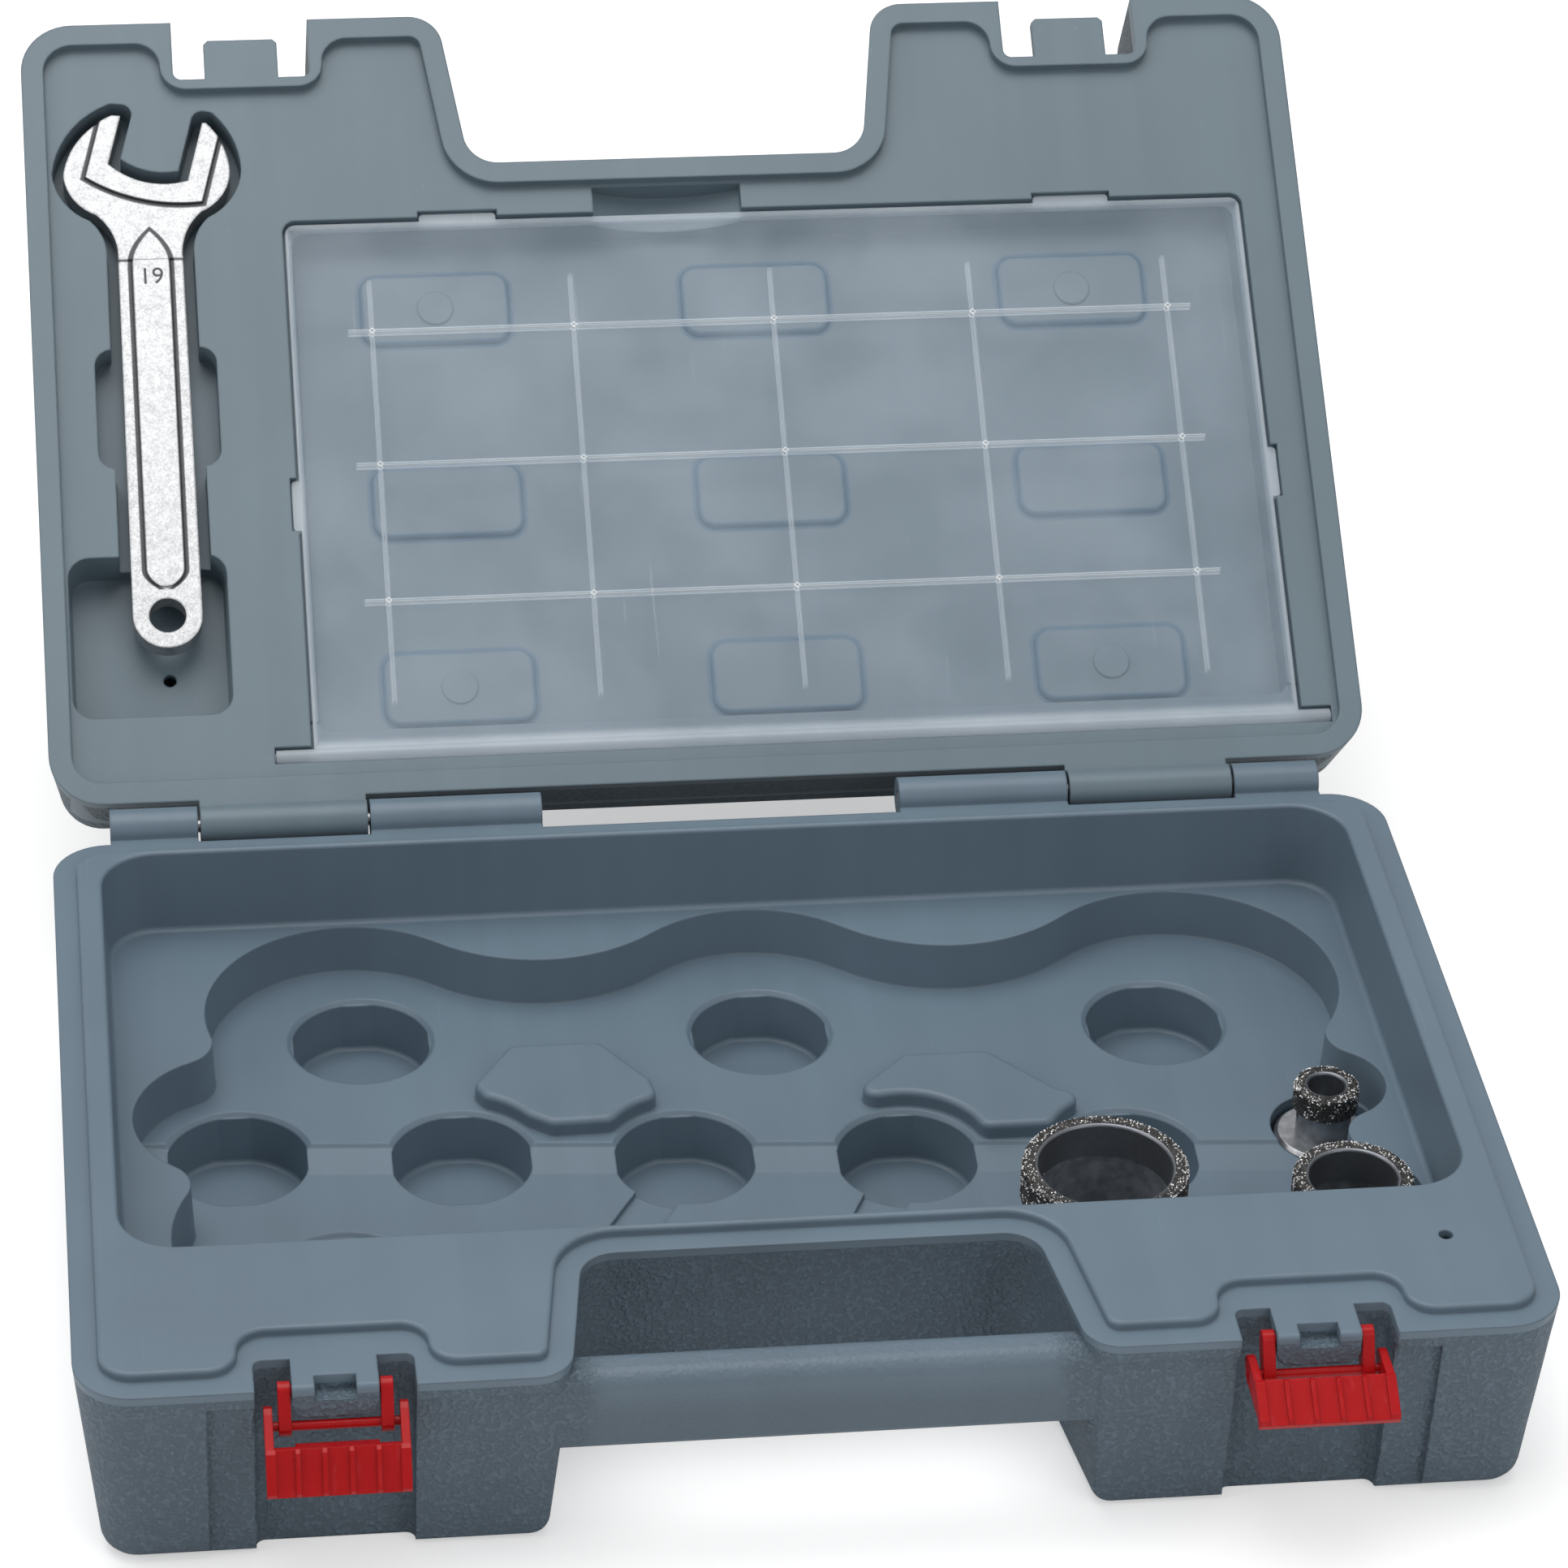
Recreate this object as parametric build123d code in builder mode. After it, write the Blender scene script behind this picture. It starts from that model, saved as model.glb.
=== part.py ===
"""Blow-moulded storage case for diamond hole cutters, standing open with its tools inside."""
import os
from math import cos, radians, sin, tan

from build123d import *

os.makedirs("parts", exist_ok=True)

# ---------------------------------------------------------------- driving dimensions, mm
case_width = 300.0          # across, along X
case_depth = 196.0          # hinge side to handle side
base_height = 46.0          # floor to the rim of the lower half
lid_thickness = 25.0        # rim to the outer face of the lid
lid_opening = 144.0         # how far the lid is swung back from closed, degrees
wall = 2.0                  # skin of the double-walled halves
draft = 6.0                 # of the outside walls, degrees
pocket_draft = 3.0          # of the walls inside the halves, degrees
corner_radius = 12.0
foot_radius = 5.0           # round edge between the side walls and the outer face
rim_gap = 0.3               # between the two rims when the case is shut

# rim flange and the deck that stands inside it
rim_width = 5.2
deck_step = 2.0             # the lower deck stands this far above its rim
deck_clearance = 0.4        # the upper deck lies this much further in than the lower one reaches
deck_corner = 6.0
edge_round = 1.0            # soft moulded edges
deck_round = 0.8            # the edges of the narrow deck

# handle
notch_inner_half = 46.5
notch_outer_half = 52.0
notch_depth = 39.0
notch_radius = 8.0
grip_depth = 12.0
grip_height = 20.0
grip_drop = 3.0             # top of the grip below the rim
grip_round = 3.6

# front corner blocks and the panels set back between them
panel_half = 124.0
panel_set_back = 1.6
panel_lip = 4.0

# shallow field in the outer face of the lid
field_centre = 76.0
field_length = 236.0
field_width = 112.0
field_sink = 0.6

# hinge
hinge_offset = 6.0          # rear rim edge to the hinge axis
knuckle_radius = 4.4
pin_radius = 1.5
pin_play = 0.05
knuckle_gap = 0.6
hinge_inner = 40.5          # inner end of each hinge
hinge_outer = 137.0
inner_knuckle = 38.5
outer_knuckle = 19.5

# latches
latch_x = 98.6
bay_room = 1.7              # between a lever's cheek and the side of its bay
bay_depth = 10.0
bay_surround = 3.0          # flange left between a bay and the deck, at its sides
bay_deck_setback = 17.5     # front rim edge to the deck behind a bay
tab_half = 8.6
tab_plate = 3.0
tab_set_back = 0.6          # front rim edge to the face of the tab
tab_lip = 7.5               # how far the lower tab turns down
tab_lip_thickness = 2.4
tab_slot = (8.3, 3.8, 3.4)  # slot in the bend of the tab: width, reach into the plate, drop
lid_bay_depth = 15.0
lid_tab_reach = 5.0         # front rim edge to the tip of the lid's tab
lid_tab_plate = 2.2
pivot_set_back = 3.5        # front rim edge to the latch pivot
pivot_drop = 2.8            # rim to the latch pivot
boss_radius = 2.4
peg_radius = 1.25
peg_play = 0.05
peg_depth = 2.2
link_length = 7.1           # pivot in the case to the bar that catches the lid
link_arm = 2.5              # thickness of each link arm
link_width = 4.0
bar_radius = 1.0            # bar of the link, on which the lever turns
rib_count = 6
rib_edge = 1.0
rib_proud = 0.8
lever_room = 1.2            # between a link arm and the lever's cheek
lever_cheek = 1.7
lever_length = 13.0         # bar to the tip of the lever
lever_top = 3.2             # bar to the upper edge of the finger plate
lever_plate = 1.8
lever_stand_off = 4.2       # bar to the back of the finger plate
lever_horn = 4.0            # how far the cheeks reach past the bar
web_reach_in = 2.6          # stiffening web behind the finger plate
web_thickness = 1.2
side_play = 0.3             # between pieces that turn beside each other

# tray in the lower half
tray_half_width = 139.5
tray_rear_margin = 7.0      # rear rim edge to the tray
tray_length = 143.0
tray_corner = 12.0
ledge_level = 27.8
pocket_level = 16.3
front_floor_level = 14.3
well_floor_level = 3.5
pocket_closing = 8.0        # radius of the valleys at the sides of the scalloped outline
rear_closing = 38.0         # radius of the long valleys between the rear lobes
step_rear = 4.6             # middle row to the upper edge of the step, and to its lower edge
step_front = 4.2
step_face = 0.9
island_height = 4.0

well_radius = 15.3
well_flat = 14.9
# every y of the pocket, its wells and islands is measured from the middle of the tray
rows = {                    # first x, pitch, number of wells, y at the middle of the case, lean in degrees
    "back": (-84.0, 88.4, 3, 37.5, 2.2),
    "middle": (-113.0, 48.0, 5, -7.9, 4.2),
    "hand": (-92.0, 52.9, 5, -45.7, 2.4),
}
small_well_x, small_well_y = 123.0, -7.5
small_well_radius = 11.5
rear_lobes = (              # rounded bulges of the pocket's outline: centre x, y, radius
    (-86.3, 36.7, 32.0),
    (3.5, 35.7, 33.0),
    (98.0, 33.5, 35.2),
)
side_lobes = (
    (-113.2, -0.5, 22.0),
    (-94.0, -43.5, 34.5),
    (123.0, -7.5, 12.9),
    (118.5, -48.0, 17.7),
)
pocket_half_width = 114.0
pocket_rear = 30.5
left_island = (
    (-52, 31.5), (-32, 31.5), (-22, 16.5), (-21, 8.5), (-26, 2.5),
    (-45, 2.0), (-58, 11.5), (-61, 17.5),
)
right_island = (
    (34, 21.5), (53, 21.5), (66, 6.5), (77, 0.5), (76, -6.5),
    (46, -6.5), (39, 1.5), (22, 0.5), (21.5, 8.5),
)
island_corner = 3.0
island_clear = 2.0          # from a well to an island
channel_width = 10.0
channel_depth = 1.2
vent_radius = 1.5
vent_place = (130.0, -69.5)

# cutters: outside diameter, height above the well floor
hub_height = 11.2
hub_radius = 12.0
hub_bevel = 0.8
bore_radius = 6.0
cup_wall = 2.4
grit_height = 8.0
grit_proud = 0.5
cup_floor = 3.0
large_radius, large_top = 17.0, 39.5
medium_radius, medium_top = 12.2, 35.0
small_radius, small_top = 6.5, 27.5
small_wall = 2.0
small_bore = 4.0
small_hub = 10.5
small_grit_height = 5.5
knock_slot = (2.2, 3.0)     # slot through the small shank, width and height
seat_gap = 0.3              # a loose tool lies this far above its seat

# lid interior
bin_left, bin_right = -91.0, 136.5
bin_near, bin_far = 15.5, 144.5     # measured from the rear rim edge
bin_depth = 10.0
rebate_width = 2.0
rebate_depth = 2.8
cover_thickness = 1.5
cover_play = 0.6
scoop_x = -0.5              # finger scoop at the far edge of the bin
scoop_width = 35.0
scoop_length = 6.4
scoop_side = 3.0
scoop_depth = 7.0
pad_length = 35.0
pad_width = 18.0
pad_height = 1.2
pad_dot_radius = 4.2
pad_dot_height = 0.4
pad_columns = (-56.0, 19.5, 95.0)
pad_rows = (29.5, 76.0, 125.0)
cover_tab = 1.2             # snap tabs that stand out of the cover's edges
cover_tab_length = 18.0
cover_tab_x = (-50.0, 95.5)
cover_side_tab_y = 72.5
rod_from_edge = 11.0
rod_radius = 1.7
socket_depth = 1.4
rod_depth = 1.4             # deck to the axis of the cover's rod
rod_left, rod_right = -99.0, 143.0
rod_pivot_radius = 1.0
rod_pivot_length = 1.3
rib_columns = (-71.5, -24.5, 22.5, 69.5, 116.0)
rib_rows = (48.2, 82.2, 116.0)
rib_width = 0.7
rib_height = 0.35

# spanner
jaw_size = 19.0
jaw_turn = 15.0             # of the jaw from the handle, degrees
jaw_floor = 1.2             # centre of the head to the ends of the jaw's floor
jaw_bulge = 2.6             # how much deeper the floor's middle lies
jaw_band = 4.6              # width of the thick band round the jaw
head_half = 19.4            # widest half of the head
head_tip = 16.3             # centre of the head to the tips of the prongs
head_thickness = 6.0
band_thickness = 7.0
handle_width = 15.0
handle_tail = 17.0
handle_thickness = 5.0
neck_drop = 21.0            # centre of the head to where the handle's sides begin
spanner_x = -121.8
spanner_head = 157.5        # rear rim edge to the centre of the head
spanner_tail = 47.0         # rear rim edge to the centre of the hanging hole
hanging_hole = 4.2
panel_low, panel_high = 54.0, 144.0    # raised field on the handle, from the rear rim edge
panel_field = 9.0
panel_arch = 9.0            # length of the pointed end of the field
panel_proud = 0.4
spanner_below_deck = 0.8
pocket_play = 2.6
finger_room = 6.5
finger_room_y = 98.0
finger_room_length = 30.0
well_box = (-144.0, -108.0, 21.6, 61.0)
well_box_depth = 12.0

# ---------------------------------------------------------------- frames and levels
half_depth = case_depth / 2
deck_level = base_height + deck_step
hinge_y = half_depth + hinge_offset
hinge_z = base_height + rim_gap / 2
pivot_y = -half_depth + pivot_set_back
pivot_z = base_height - pivot_drop
arm_inner = tab_half + side_play
lever_inner = arm_inner + link_arm + lever_room
lever_half = lever_inner + lever_cheek
bay_half = lever_half + bay_room
lean = radians(lid_opening - 90)
lid_up = Vector(0, sin(lean), cos(lean))
lid_face = Vector(0, -cos(lean), sin(lean))

# The lid is drawn on the plane through the hinge axis: local y climbs the lid, local z leaves it.
lid_plane = Plane(origin=(0, hinge_y, hinge_z), x_dir=(1, 0, 0), z_dir=lid_face)
lid_deck_depth = deck_step + deck_clearance


def lid_point(x, from_edge, depth=0.0):
    """A point of the lid: from_edge is measured up from its rear rim edge, depth from its rim."""
    return lid_plane.origin + Vector(x, 0, 0) + lid_up * (hinge_offset + from_edge) \
        - lid_face * (depth + rim_gap / 2)


def lid_rim_plane(depth):
    """The same outline frame on the lid, depth below its rim."""
    return Plane(origin=lid_point(0, 0, depth), x_dir=(1, 0, 0), z_dir=lid_face)


# ---------------------------------------------------------------- outlines shared by both halves
# They are drawn with X across the case and Y from the rear rim edge (0) to the front rim edge.
def rim_outline(inset):
    """Outside of a half at its rim: a rounded rectangle with the hand notch in its front."""
    flare = (notch_outer_half - notch_inner_half) / notch_depth * corner_radius
    with BuildSketch() as outline:
        with Locations((0, half_depth)):
            RectangleRounded(case_width, case_depth, corner_radius)
        Polygon(
            (-notch_inner_half, case_depth - notch_depth),
            (notch_inner_half, case_depth - notch_depth),
            (notch_outer_half + flare, case_depth + corner_radius),
            (-notch_outer_half - flare, case_depth + corner_radius),
            align=None,
            mode=Mode.SUBTRACT,
        )
        notch_corners = [v for v in outline.vertices() if abs(v.X) < notch_outer_half + flare]
        fillet(notch_corners, notch_radius)
        if inset:
            offset(amount=-inset, mode=Mode.REPLACE)
    return outline.sketch


def deck_outline(inset):
    """Edge of the deck: the rim outline drawn in, stepping round the latch bays."""
    half_jog = bay_half + bay_surround + inset
    with BuildSketch() as outline:
        add(rim_outline(rim_width + inset))
        with Locations((-latch_x, case_depth), (latch_x, case_depth)):
            Rectangle(2 * half_jog, 2 * (bay_deck_setback + inset), mode=Mode.SUBTRACT)
        jogs = [v for v in outline.vertices() if abs(abs(abs(v.X) - latch_x) - half_jog) < 0.01]
        fillet(jogs, deck_corner)
    return outline.sketch


def outside_form(inset, height, front_panel):
    """Drafted outside of a half, rim at Z = 0 and outer face at Z = -height, drawn in by inset."""
    outline = rim_outline(inset)
    with BuildPart() as form:
        with BuildSketch(Plane.XY.offset(-inset)):
            add(outline)
        extrude(amount=-(height - 2 * inset), taper=draft)
        fillet(form.edges().group_by(Axis.Z)[0], foot_radius - inset)
        if front_panel:
            back_at_rim = case_depth - panel_set_back - inset
            lean_in = (height + inset) * tan(radians(draft))
            with BuildSketch(Plane.YZ.offset(-panel_half - inset)):
                Polygon(
                    (back_at_rim - panel_lip * tan(radians(draft)), -panel_lip - panel_set_back - inset),
                    (case_depth + inset, -panel_lip - inset),
                    (case_depth + inset, -height - inset),
                    (back_at_rim - lean_in, -height - inset),
                    align=None,
                )
            extrude(amount=2 * (panel_half + inset), mode=Mode.SUBTRACT)
    return form.part


# ---------------------------------------------------------------- spaces of the lower half
# Each space is drawn out by skin, so that the same function gives the hollow behind the inner skin.
base_outline_frame = Plane(origin=(0, half_depth, base_height), x_dir=(-1, 0, 0), z_dir=(0, 0, 1))
tray_centre_y = half_depth - tray_rear_margin - tray_length / 2
pocket_front_y = tray_centre_y - tray_length / 2 + 4.5
pocket_rear_y = tray_centre_y + pocket_rear
small_well = (small_well_x, tray_centre_y + small_well_y)


def well_row(name):
    """Centres of one row of wells, left to right."""
    first, pitch, count, y, row_lean = rows[name]
    places = [first + pitch * k for k in range(count)]
    return [(x, tray_centre_y + y - x * tan(radians(row_lean))) for x in places]


back_row, middle_row, hand_row = well_row("back"), well_row("middle"), well_row("hand")


def tray_space(skin):
    """The open tray, from the deck down to the ledge round the scalloped pocket."""
    with BuildPart() as space:
        with BuildSketch(Plane.XY.offset(deck_level)):
            with Locations((0, tray_centre_y)):
                RectangleRounded(
                    2 * (tray_half_width + skin), tray_length + 2 * skin, tray_corner + skin
                )
        extrude(amount=-(deck_level - ledge_level + skin), taper=pocket_draft)
        floor_edges = space.edges().group_by(Axis.Z)[0]
        fillet(floor_edges, 1.2 * edge_round + skin)
    return space.part


def scalloped_outline(skin):
    """Lobes round the wells, joined by a middle field and by rounded valleys."""
    field_middle = (pocket_front_y + pocket_rear_y) / 2
    with BuildSketch() as outline:
        centres = [(x, tray_centre_y + y) for x, y, radius in rear_lobes]
        Polygon(*centres, (0, field_middle), align=None)
        for x, y, radius in rear_lobes:
            with Locations((x, tray_centre_y + y)):
                Circle(radius)
        offset(amount=rear_closing, mode=Mode.REPLACE)
        offset(amount=-rear_closing, mode=Mode.REPLACE)
        with Locations((0, field_middle)):
            Rectangle(2 * pocket_half_width, pocket_rear_y - pocket_front_y)
        for x, y, radius in side_lobes:
            with Locations((x, tray_centre_y + y)):
                Circle(radius)
        offset(amount=pocket_closing, mode=Mode.REPLACE)
        offset(amount=skin - pocket_closing, mode=Mode.REPLACE)
        with Locations((0, half_depth + pocket_front_y - skin)):
            Rectangle(case_width, case_depth, mode=Mode.INTERSECT)
    return outline.sketch


def island_outline(points, skin):
    """One island, kept clear of the wells beside it and rounded at every corner."""
    with BuildSketch() as outline:
        Polygon(*[(x, tray_centre_y + y) for x, y in points], align=None)
        with Locations(*back_row, *middle_row):
            Circle(well_radius + island_clear, mode=Mode.SUBTRACT)
        offset(amount=-island_corner - skin, mode=Mode.REPLACE)
        offset(amount=island_corner, mode=Mode.REPLACE)
    return outline.sketch


def islands(skin):
    """Two low raised fields between the rows, which keep neighbouring tools apart."""
    left_field = island_outline(left_island, skin)
    right_field = island_outline(right_island, skin)
    with BuildPart() as fields:
        with BuildSketch(Plane.XY.offset(well_floor_level - wall)):
            add(left_field)
            add(right_field)
        extrude(amount=pocket_level + island_height - skin - well_floor_level + wall)
        if not skin:
            fillet(fields.edges().group_by(Axis.Z)[-1], 1.5 * edge_round)
    return fields.part


def pocket_space(skin):
    """The scalloped pocket below the ledge, with its stepped floor and its islands."""
    outline = scalloped_outline(skin)
    raised = islands(skin)
    deepest = front_floor_level - skin
    with BuildPart() as space:
        with BuildSketch(Plane.XY.offset(ledge_level)):
            add(outline)
        extrude(amount=-(ledge_level - deepest), taper=pocket_draft)
        row_y, row_lean = tray_centre_y + rows["middle"][3], radians(rows["middle"][4])
        with BuildSketch(Plane(origin=(0, row_y, 0), x_dir=(sin(row_lean), cos(row_lean), 0),
                               z_dir=(cos(row_lean), -sin(row_lean), 0))):
            Polygon(
                (case_depth, 0),
                (case_depth, pocket_level - skin),
                (step_rear, pocket_level - skin),
                (step_rear - step_face, pocket_level - step_face - skin),
                (-step_front, deepest),
                (-step_front, 0),
                align=None,
            )
        extrude(amount=case_width, both=True, mode=Mode.SUBTRACT)
        add(raised, mode=Mode.SUBTRACT)
    return space.part


def wells(skin):
    """Round wells with four small flats, in three rows, and the short channels between two rows."""
    depth = pocket_level + edge_round - well_floor_level + skin
    upper = back_row + middle_row
    lower = hand_row
    with BuildSketch() as profile:
        Circle(well_radius + skin)
        Rectangle(2 * (well_flat + skin), 2 * (well_flat + skin), mode=Mode.INTERSECT)
    with BuildPart() as space:
        with BuildSketch(Plane.XY.offset(well_floor_level - skin)):
            with Locations(*upper, *lower):
                add(profile.sketch)
            with Locations(small_well):
                Circle(small_well_radius + skin)
        extrude(amount=depth)
        for level, places in ((pocket_level, upper), (front_floor_level, lower)):
            with BuildSketch(Plane.XY.offset(level - skin - edge_round)):
                with Locations(*places):
                    Circle(well_radius + skin)
            extrude(amount=edge_round + skin, taper=-45)
        channel_level = front_floor_level - channel_depth - skin
        with BuildSketch(Plane.XY.offset(channel_level)):
            for start, end in ((2, 1), (3, 2)):
                with BuildLine():
                    Line(middle_row[start], hand_row[end])
                trace(line_width=channel_width + 2 * skin)
        extrude(amount=channel_depth + edge_round)
    return space.part


# ---------------------------------------------------------------- lower half
def at_level(shape, level):
    """Whether an edge or face lies wholly at one height."""
    box = shape.bounding_box()
    return abs(box.min.Z - level) < 0.01 and abs(box.max.Z - level) < 0.01


def latch_bays(inset, bay_cut_depth, height):
    """Recesses in the front wall for the two latches, in the outline frame of a half."""
    with BuildPart() as bays:
        with BuildSketch():
            with Locations((-latch_x, case_depth), (latch_x, case_depth)):
                Rectangle(2 * (bay_half + inset), 2 * (bay_cut_depth + inset))
        extrude(amount=-height)
        fillet(bays.edges().filter_by(Axis.Z), 2 * edge_round)
    return bays.part


def grip_bar(inset, reach):
    """Handle bar across the mouth of the notch, flush with the front panels, ending inside the body."""
    top = base_height - grip_drop
    bottom = top - grip_height
    front = -half_depth + panel_set_back
    back = -half_depth + grip_depth
    with BuildPart() as bar:
        with BuildSketch(Plane.YZ.offset(-notch_outer_half - reach)) as section:
            Polygon(
                (front + grip_drop * tan(radians(draft)), top),
                (back, top),
                (back, bottom),
                (front + (grip_drop + grip_height) * tan(radians(draft)), bottom),
                align=None,
            )
            fillet(section.vertices(), grip_round)
            if inset:
                offset(amount=-inset, mode=Mode.REPLACE)
        extrude(amount=2 * (notch_outer_half + reach))
    return bar.part


def base_form(inset):
    """The lower half as a solid lump with all its spaces, drawn in by inset on every side."""
    lump = outside_form(inset, base_height, True).moved(base_outline_frame.location)
    bays = latch_bays(inset, bay_depth, base_height).moved(base_outline_frame.location)
    deck = deck_outline(inset)
    spaces = (tray_space(inset), pocket_space(inset), wells(inset))
    bar = grip_bar(inset, grip_round + 2 * inset)
    with BuildPart() as form:
        add(lump)
        with BuildSketch(base_outline_frame.offset(-inset)):
            add(deck)
        extrude(amount=deck_step)
        add(bays, mode=Mode.SUBTRACT)
        for space in spaces:
            add(space, mode=Mode.SUBTRACT)
        add(bar)
        if not inset:
            fillet(form.edges().filter_by(lambda e: at_level(e, deck_level)), deck_round)
            fillet(form.edges().filter_by(lambda e: at_level(e, well_floor_level)), edge_round)
    return form.part


def hinge_spans():
    """X ranges of the knuckles of both hinges: (low, high, belongs to the lid)."""
    middle = hinge_inner + inner_knuckle, hinge_outer - outer_knuckle
    spans = (
        (hinge_inner, middle[0], False),
        (middle[0] + knuckle_gap, middle[1] - knuckle_gap, True),
        (middle[1], hinge_outer, False),
    )
    for low, high, on_lid in spans:
        yield low, high, on_lid
        yield -high, -low, on_lid


def knuckles(plane_of, on_lid):
    """Knuckles with the webs that carry them, bored for the pin, on their own half."""
    bore = pin_radius + pin_play
    web_reach = hinge_offset + 2 * wall
    toward_body = web_reach / 2 if on_lid else -web_reach / 2
    with BuildPart() as group:
        for low, high, lid_side in hinge_spans():
            if lid_side != on_lid:
                continue
            with BuildSketch(plane_of(low)):
                Circle(knuckle_radius)
                with Locations((toward_body, -rim_gap / 2 - knuckle_radius / 2)):
                    Rectangle(web_reach, knuckle_radius)
                Circle(bore, mode=Mode.SUBTRACT)
            extrude(amount=high - low)
    return group.part


def base_knuckle_plane(x):
    """Across the hinge axis at x, local x away from the case, local y up."""
    return Plane(origin=(x, hinge_y, hinge_z), x_dir=(0, 1, 0), z_dir=(1, 0, 0))


def latch_tab(side):
    """Front tab that carries a latch: a plate with a turned-down lip, a slot in its bend and a boss."""
    centre = side * latch_x
    front = -half_depth + tab_set_back
    root = -half_depth + bay_depth + wall
    with BuildPart() as tab:
        with BuildSketch(Plane.YZ.offset(centre - tab_half)):
            with BuildLine():
                Polyline(
                    (root, base_height),
                    (front, base_height),
                    (front, base_height - tab_lip),
                    (front + tab_lip_thickness, base_height - tab_lip),
                    (front + tab_lip_thickness, base_height - tab_plate),
                    (root, base_height - tab_plate),
                    close=True,
                )
            make_face()
            with Locations((pivot_y, pivot_z)):
                Circle(boss_radius)
        extrude(amount=2 * tab_half)
        bend = tab.edges().filter_by(Axis.X).sort_by(lambda e: e.center().Y - e.center().Z)[0]
        fillet(bend, edge_round)
        lip_corners = tab.edges().filter_by(Axis.Y).group_by(Axis.Z)[0]
        fillet(lip_corners, 3 * edge_round)
        slot_width, slot_reach, slot_drop = tab_slot
        with Locations((centre, front + slot_reach, base_height)):
            Box(
                slot_width, 2 * slot_reach, 2 * slot_drop,
                align=(Align.CENTER, Align.MAX, Align.CENTER), mode=Mode.SUBTRACT,
            )
        for end in (-1, 1):
            with BuildSketch(Plane.YZ.offset(centre + end * tab_half)):
                with Locations((pivot_y, pivot_z)):
                    Circle(peg_radius + peg_play)
            extrude(amount=-end * peg_depth, mode=Mode.SUBTRACT)
    return tab.part


base_lump = base_form(0)
base_hollow = base_form(wall)
base_knuckles = knuckles(base_knuckle_plane, False)
base_tabs = (latch_tab(-1), latch_tab(1))
with BuildPart() as base_shell:
    add(base_lump)
    add(base_hollow, mode=Mode.SUBTRACT)
    with Locations((*vent_place, deck_level)):
        Cylinder(vent_radius, 3 * wall, mode=Mode.SUBTRACT)
    add(base_knuckles)
    for tab in base_tabs:
        add(tab)


# ---------------------------------------------------------------- spaces of the lid
# Drawn in the lid's outline frame: X across, Y up from the rear rim edge, Z = 0 at the rim.
deck_z = -lid_deck_depth
spanner_top = lid_deck_depth + spanner_below_deck
spanner_bed = spanner_below_deck + band_thickness + seat_gap    # deck to the floor of the pocket
rod_radius_room = rod_radius + side_play
rod_level = lid_deck_depth + rod_depth


def bin_space(skin):
    """Shallow bin under the clear cover, with a rebate for it, finger scoop and snap notches."""
    length, width = bin_right - bin_left, bin_far - bin_near
    centre = ((bin_left + bin_right) / 2, (bin_near + bin_far) / 2)
    with BuildPart() as space:
        with BuildSketch(Plane.XY.offset(deck_z)):
            with Locations(centre):
                RectangleRounded(length + 2 * skin, width + 2 * skin, 3 + skin)
            with Locations(*[(x, bin_far) for x in cover_tab_x]):
                Rectangle(cover_tab_length + 2 * side_play + 2 * skin, 2 * (cover_tab + side_play + skin))
            with Locations((bin_left, cover_side_tab_y), (bin_right, cover_side_tab_y)):
                Rectangle(2 * (cover_tab + side_play + skin), cover_tab_length * 0.7 + 2 * side_play + 2 * skin)
        extrude(amount=-(rebate_depth + skin))
        with BuildSketch(Plane.XY.offset(deck_z)):
            with Locations(centre):
                RectangleRounded(
                    length - 2 * rebate_width + 2 * skin, width - 2 * rebate_width + 2 * skin, 3 + skin
                )
        extrude(amount=-(bin_depth + skin), taper=pocket_draft)
        half = scoop_width / 2 + skin
        with BuildSketch(Plane.XZ.offset(-bin_far + rebate_width + edge_round)):
            with BuildLine():
                Polyline((scoop_x - half, deck_z - scoop_side - skin), (scoop_x - half, deck_z))
                Line((scoop_x - half, deck_z), (scoop_x + half, deck_z))
                Line((scoop_x + half, deck_z), (scoop_x + half, deck_z - scoop_side - skin))
                ThreePointArc(
                    (scoop_x + half, deck_z - scoop_side - skin),
                    (scoop_x, deck_z - scoop_depth - skin),
                    (scoop_x - half, deck_z - scoop_side - skin),
                )
            make_face()
        extrude(amount=-(rebate_width + edge_round + scoop_length + skin))
        with BuildSketch(Plane.XY.offset(deck_z)):
            with Locations(((rod_left + rod_right) / 2, rod_from_edge)):
                Rectangle(rod_right - rod_left + 2 * (side_play + skin), 2 * (rod_radius_room + skin))
            with Locations((centre[0], bin_near)):
                Rectangle(length + 2 * skin, 2 * (bin_near - rod_from_edge))
        extrude(amount=-(rod_depth + rod_radius_room + skin))
    return space.part


def pads():
    """Low raised pads on the floor of the bin, those in the corners with a round mark."""
    floor = deck_z - bin_depth
    with BuildPart() as group:
        with BuildSketch(Plane.XY.offset(floor - wall)):
            with Locations(*[(x, y) for x in pad_columns for y in pad_rows]):
                RectangleRounded(pad_length, pad_width, 4)
        extrude(amount=wall + pad_height)
        fillet(group.edges().group_by(Axis.Z)[-1], 0.8 * pad_height)
        with BuildSketch(Plane.XY.offset(floor)):
            with Locations(*[(x, y) for x in pad_columns[::2] for y in pad_rows[::2]]):
                Circle(pad_dot_radius)
        extrude(amount=pad_height + pad_dot_height)
    return group.part


def head_point(across, up):
    """A point of the spanner's head in the lid's outline frame, measured from the head's centre."""
    return (spanner_x + across, spanner_head + up)


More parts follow.
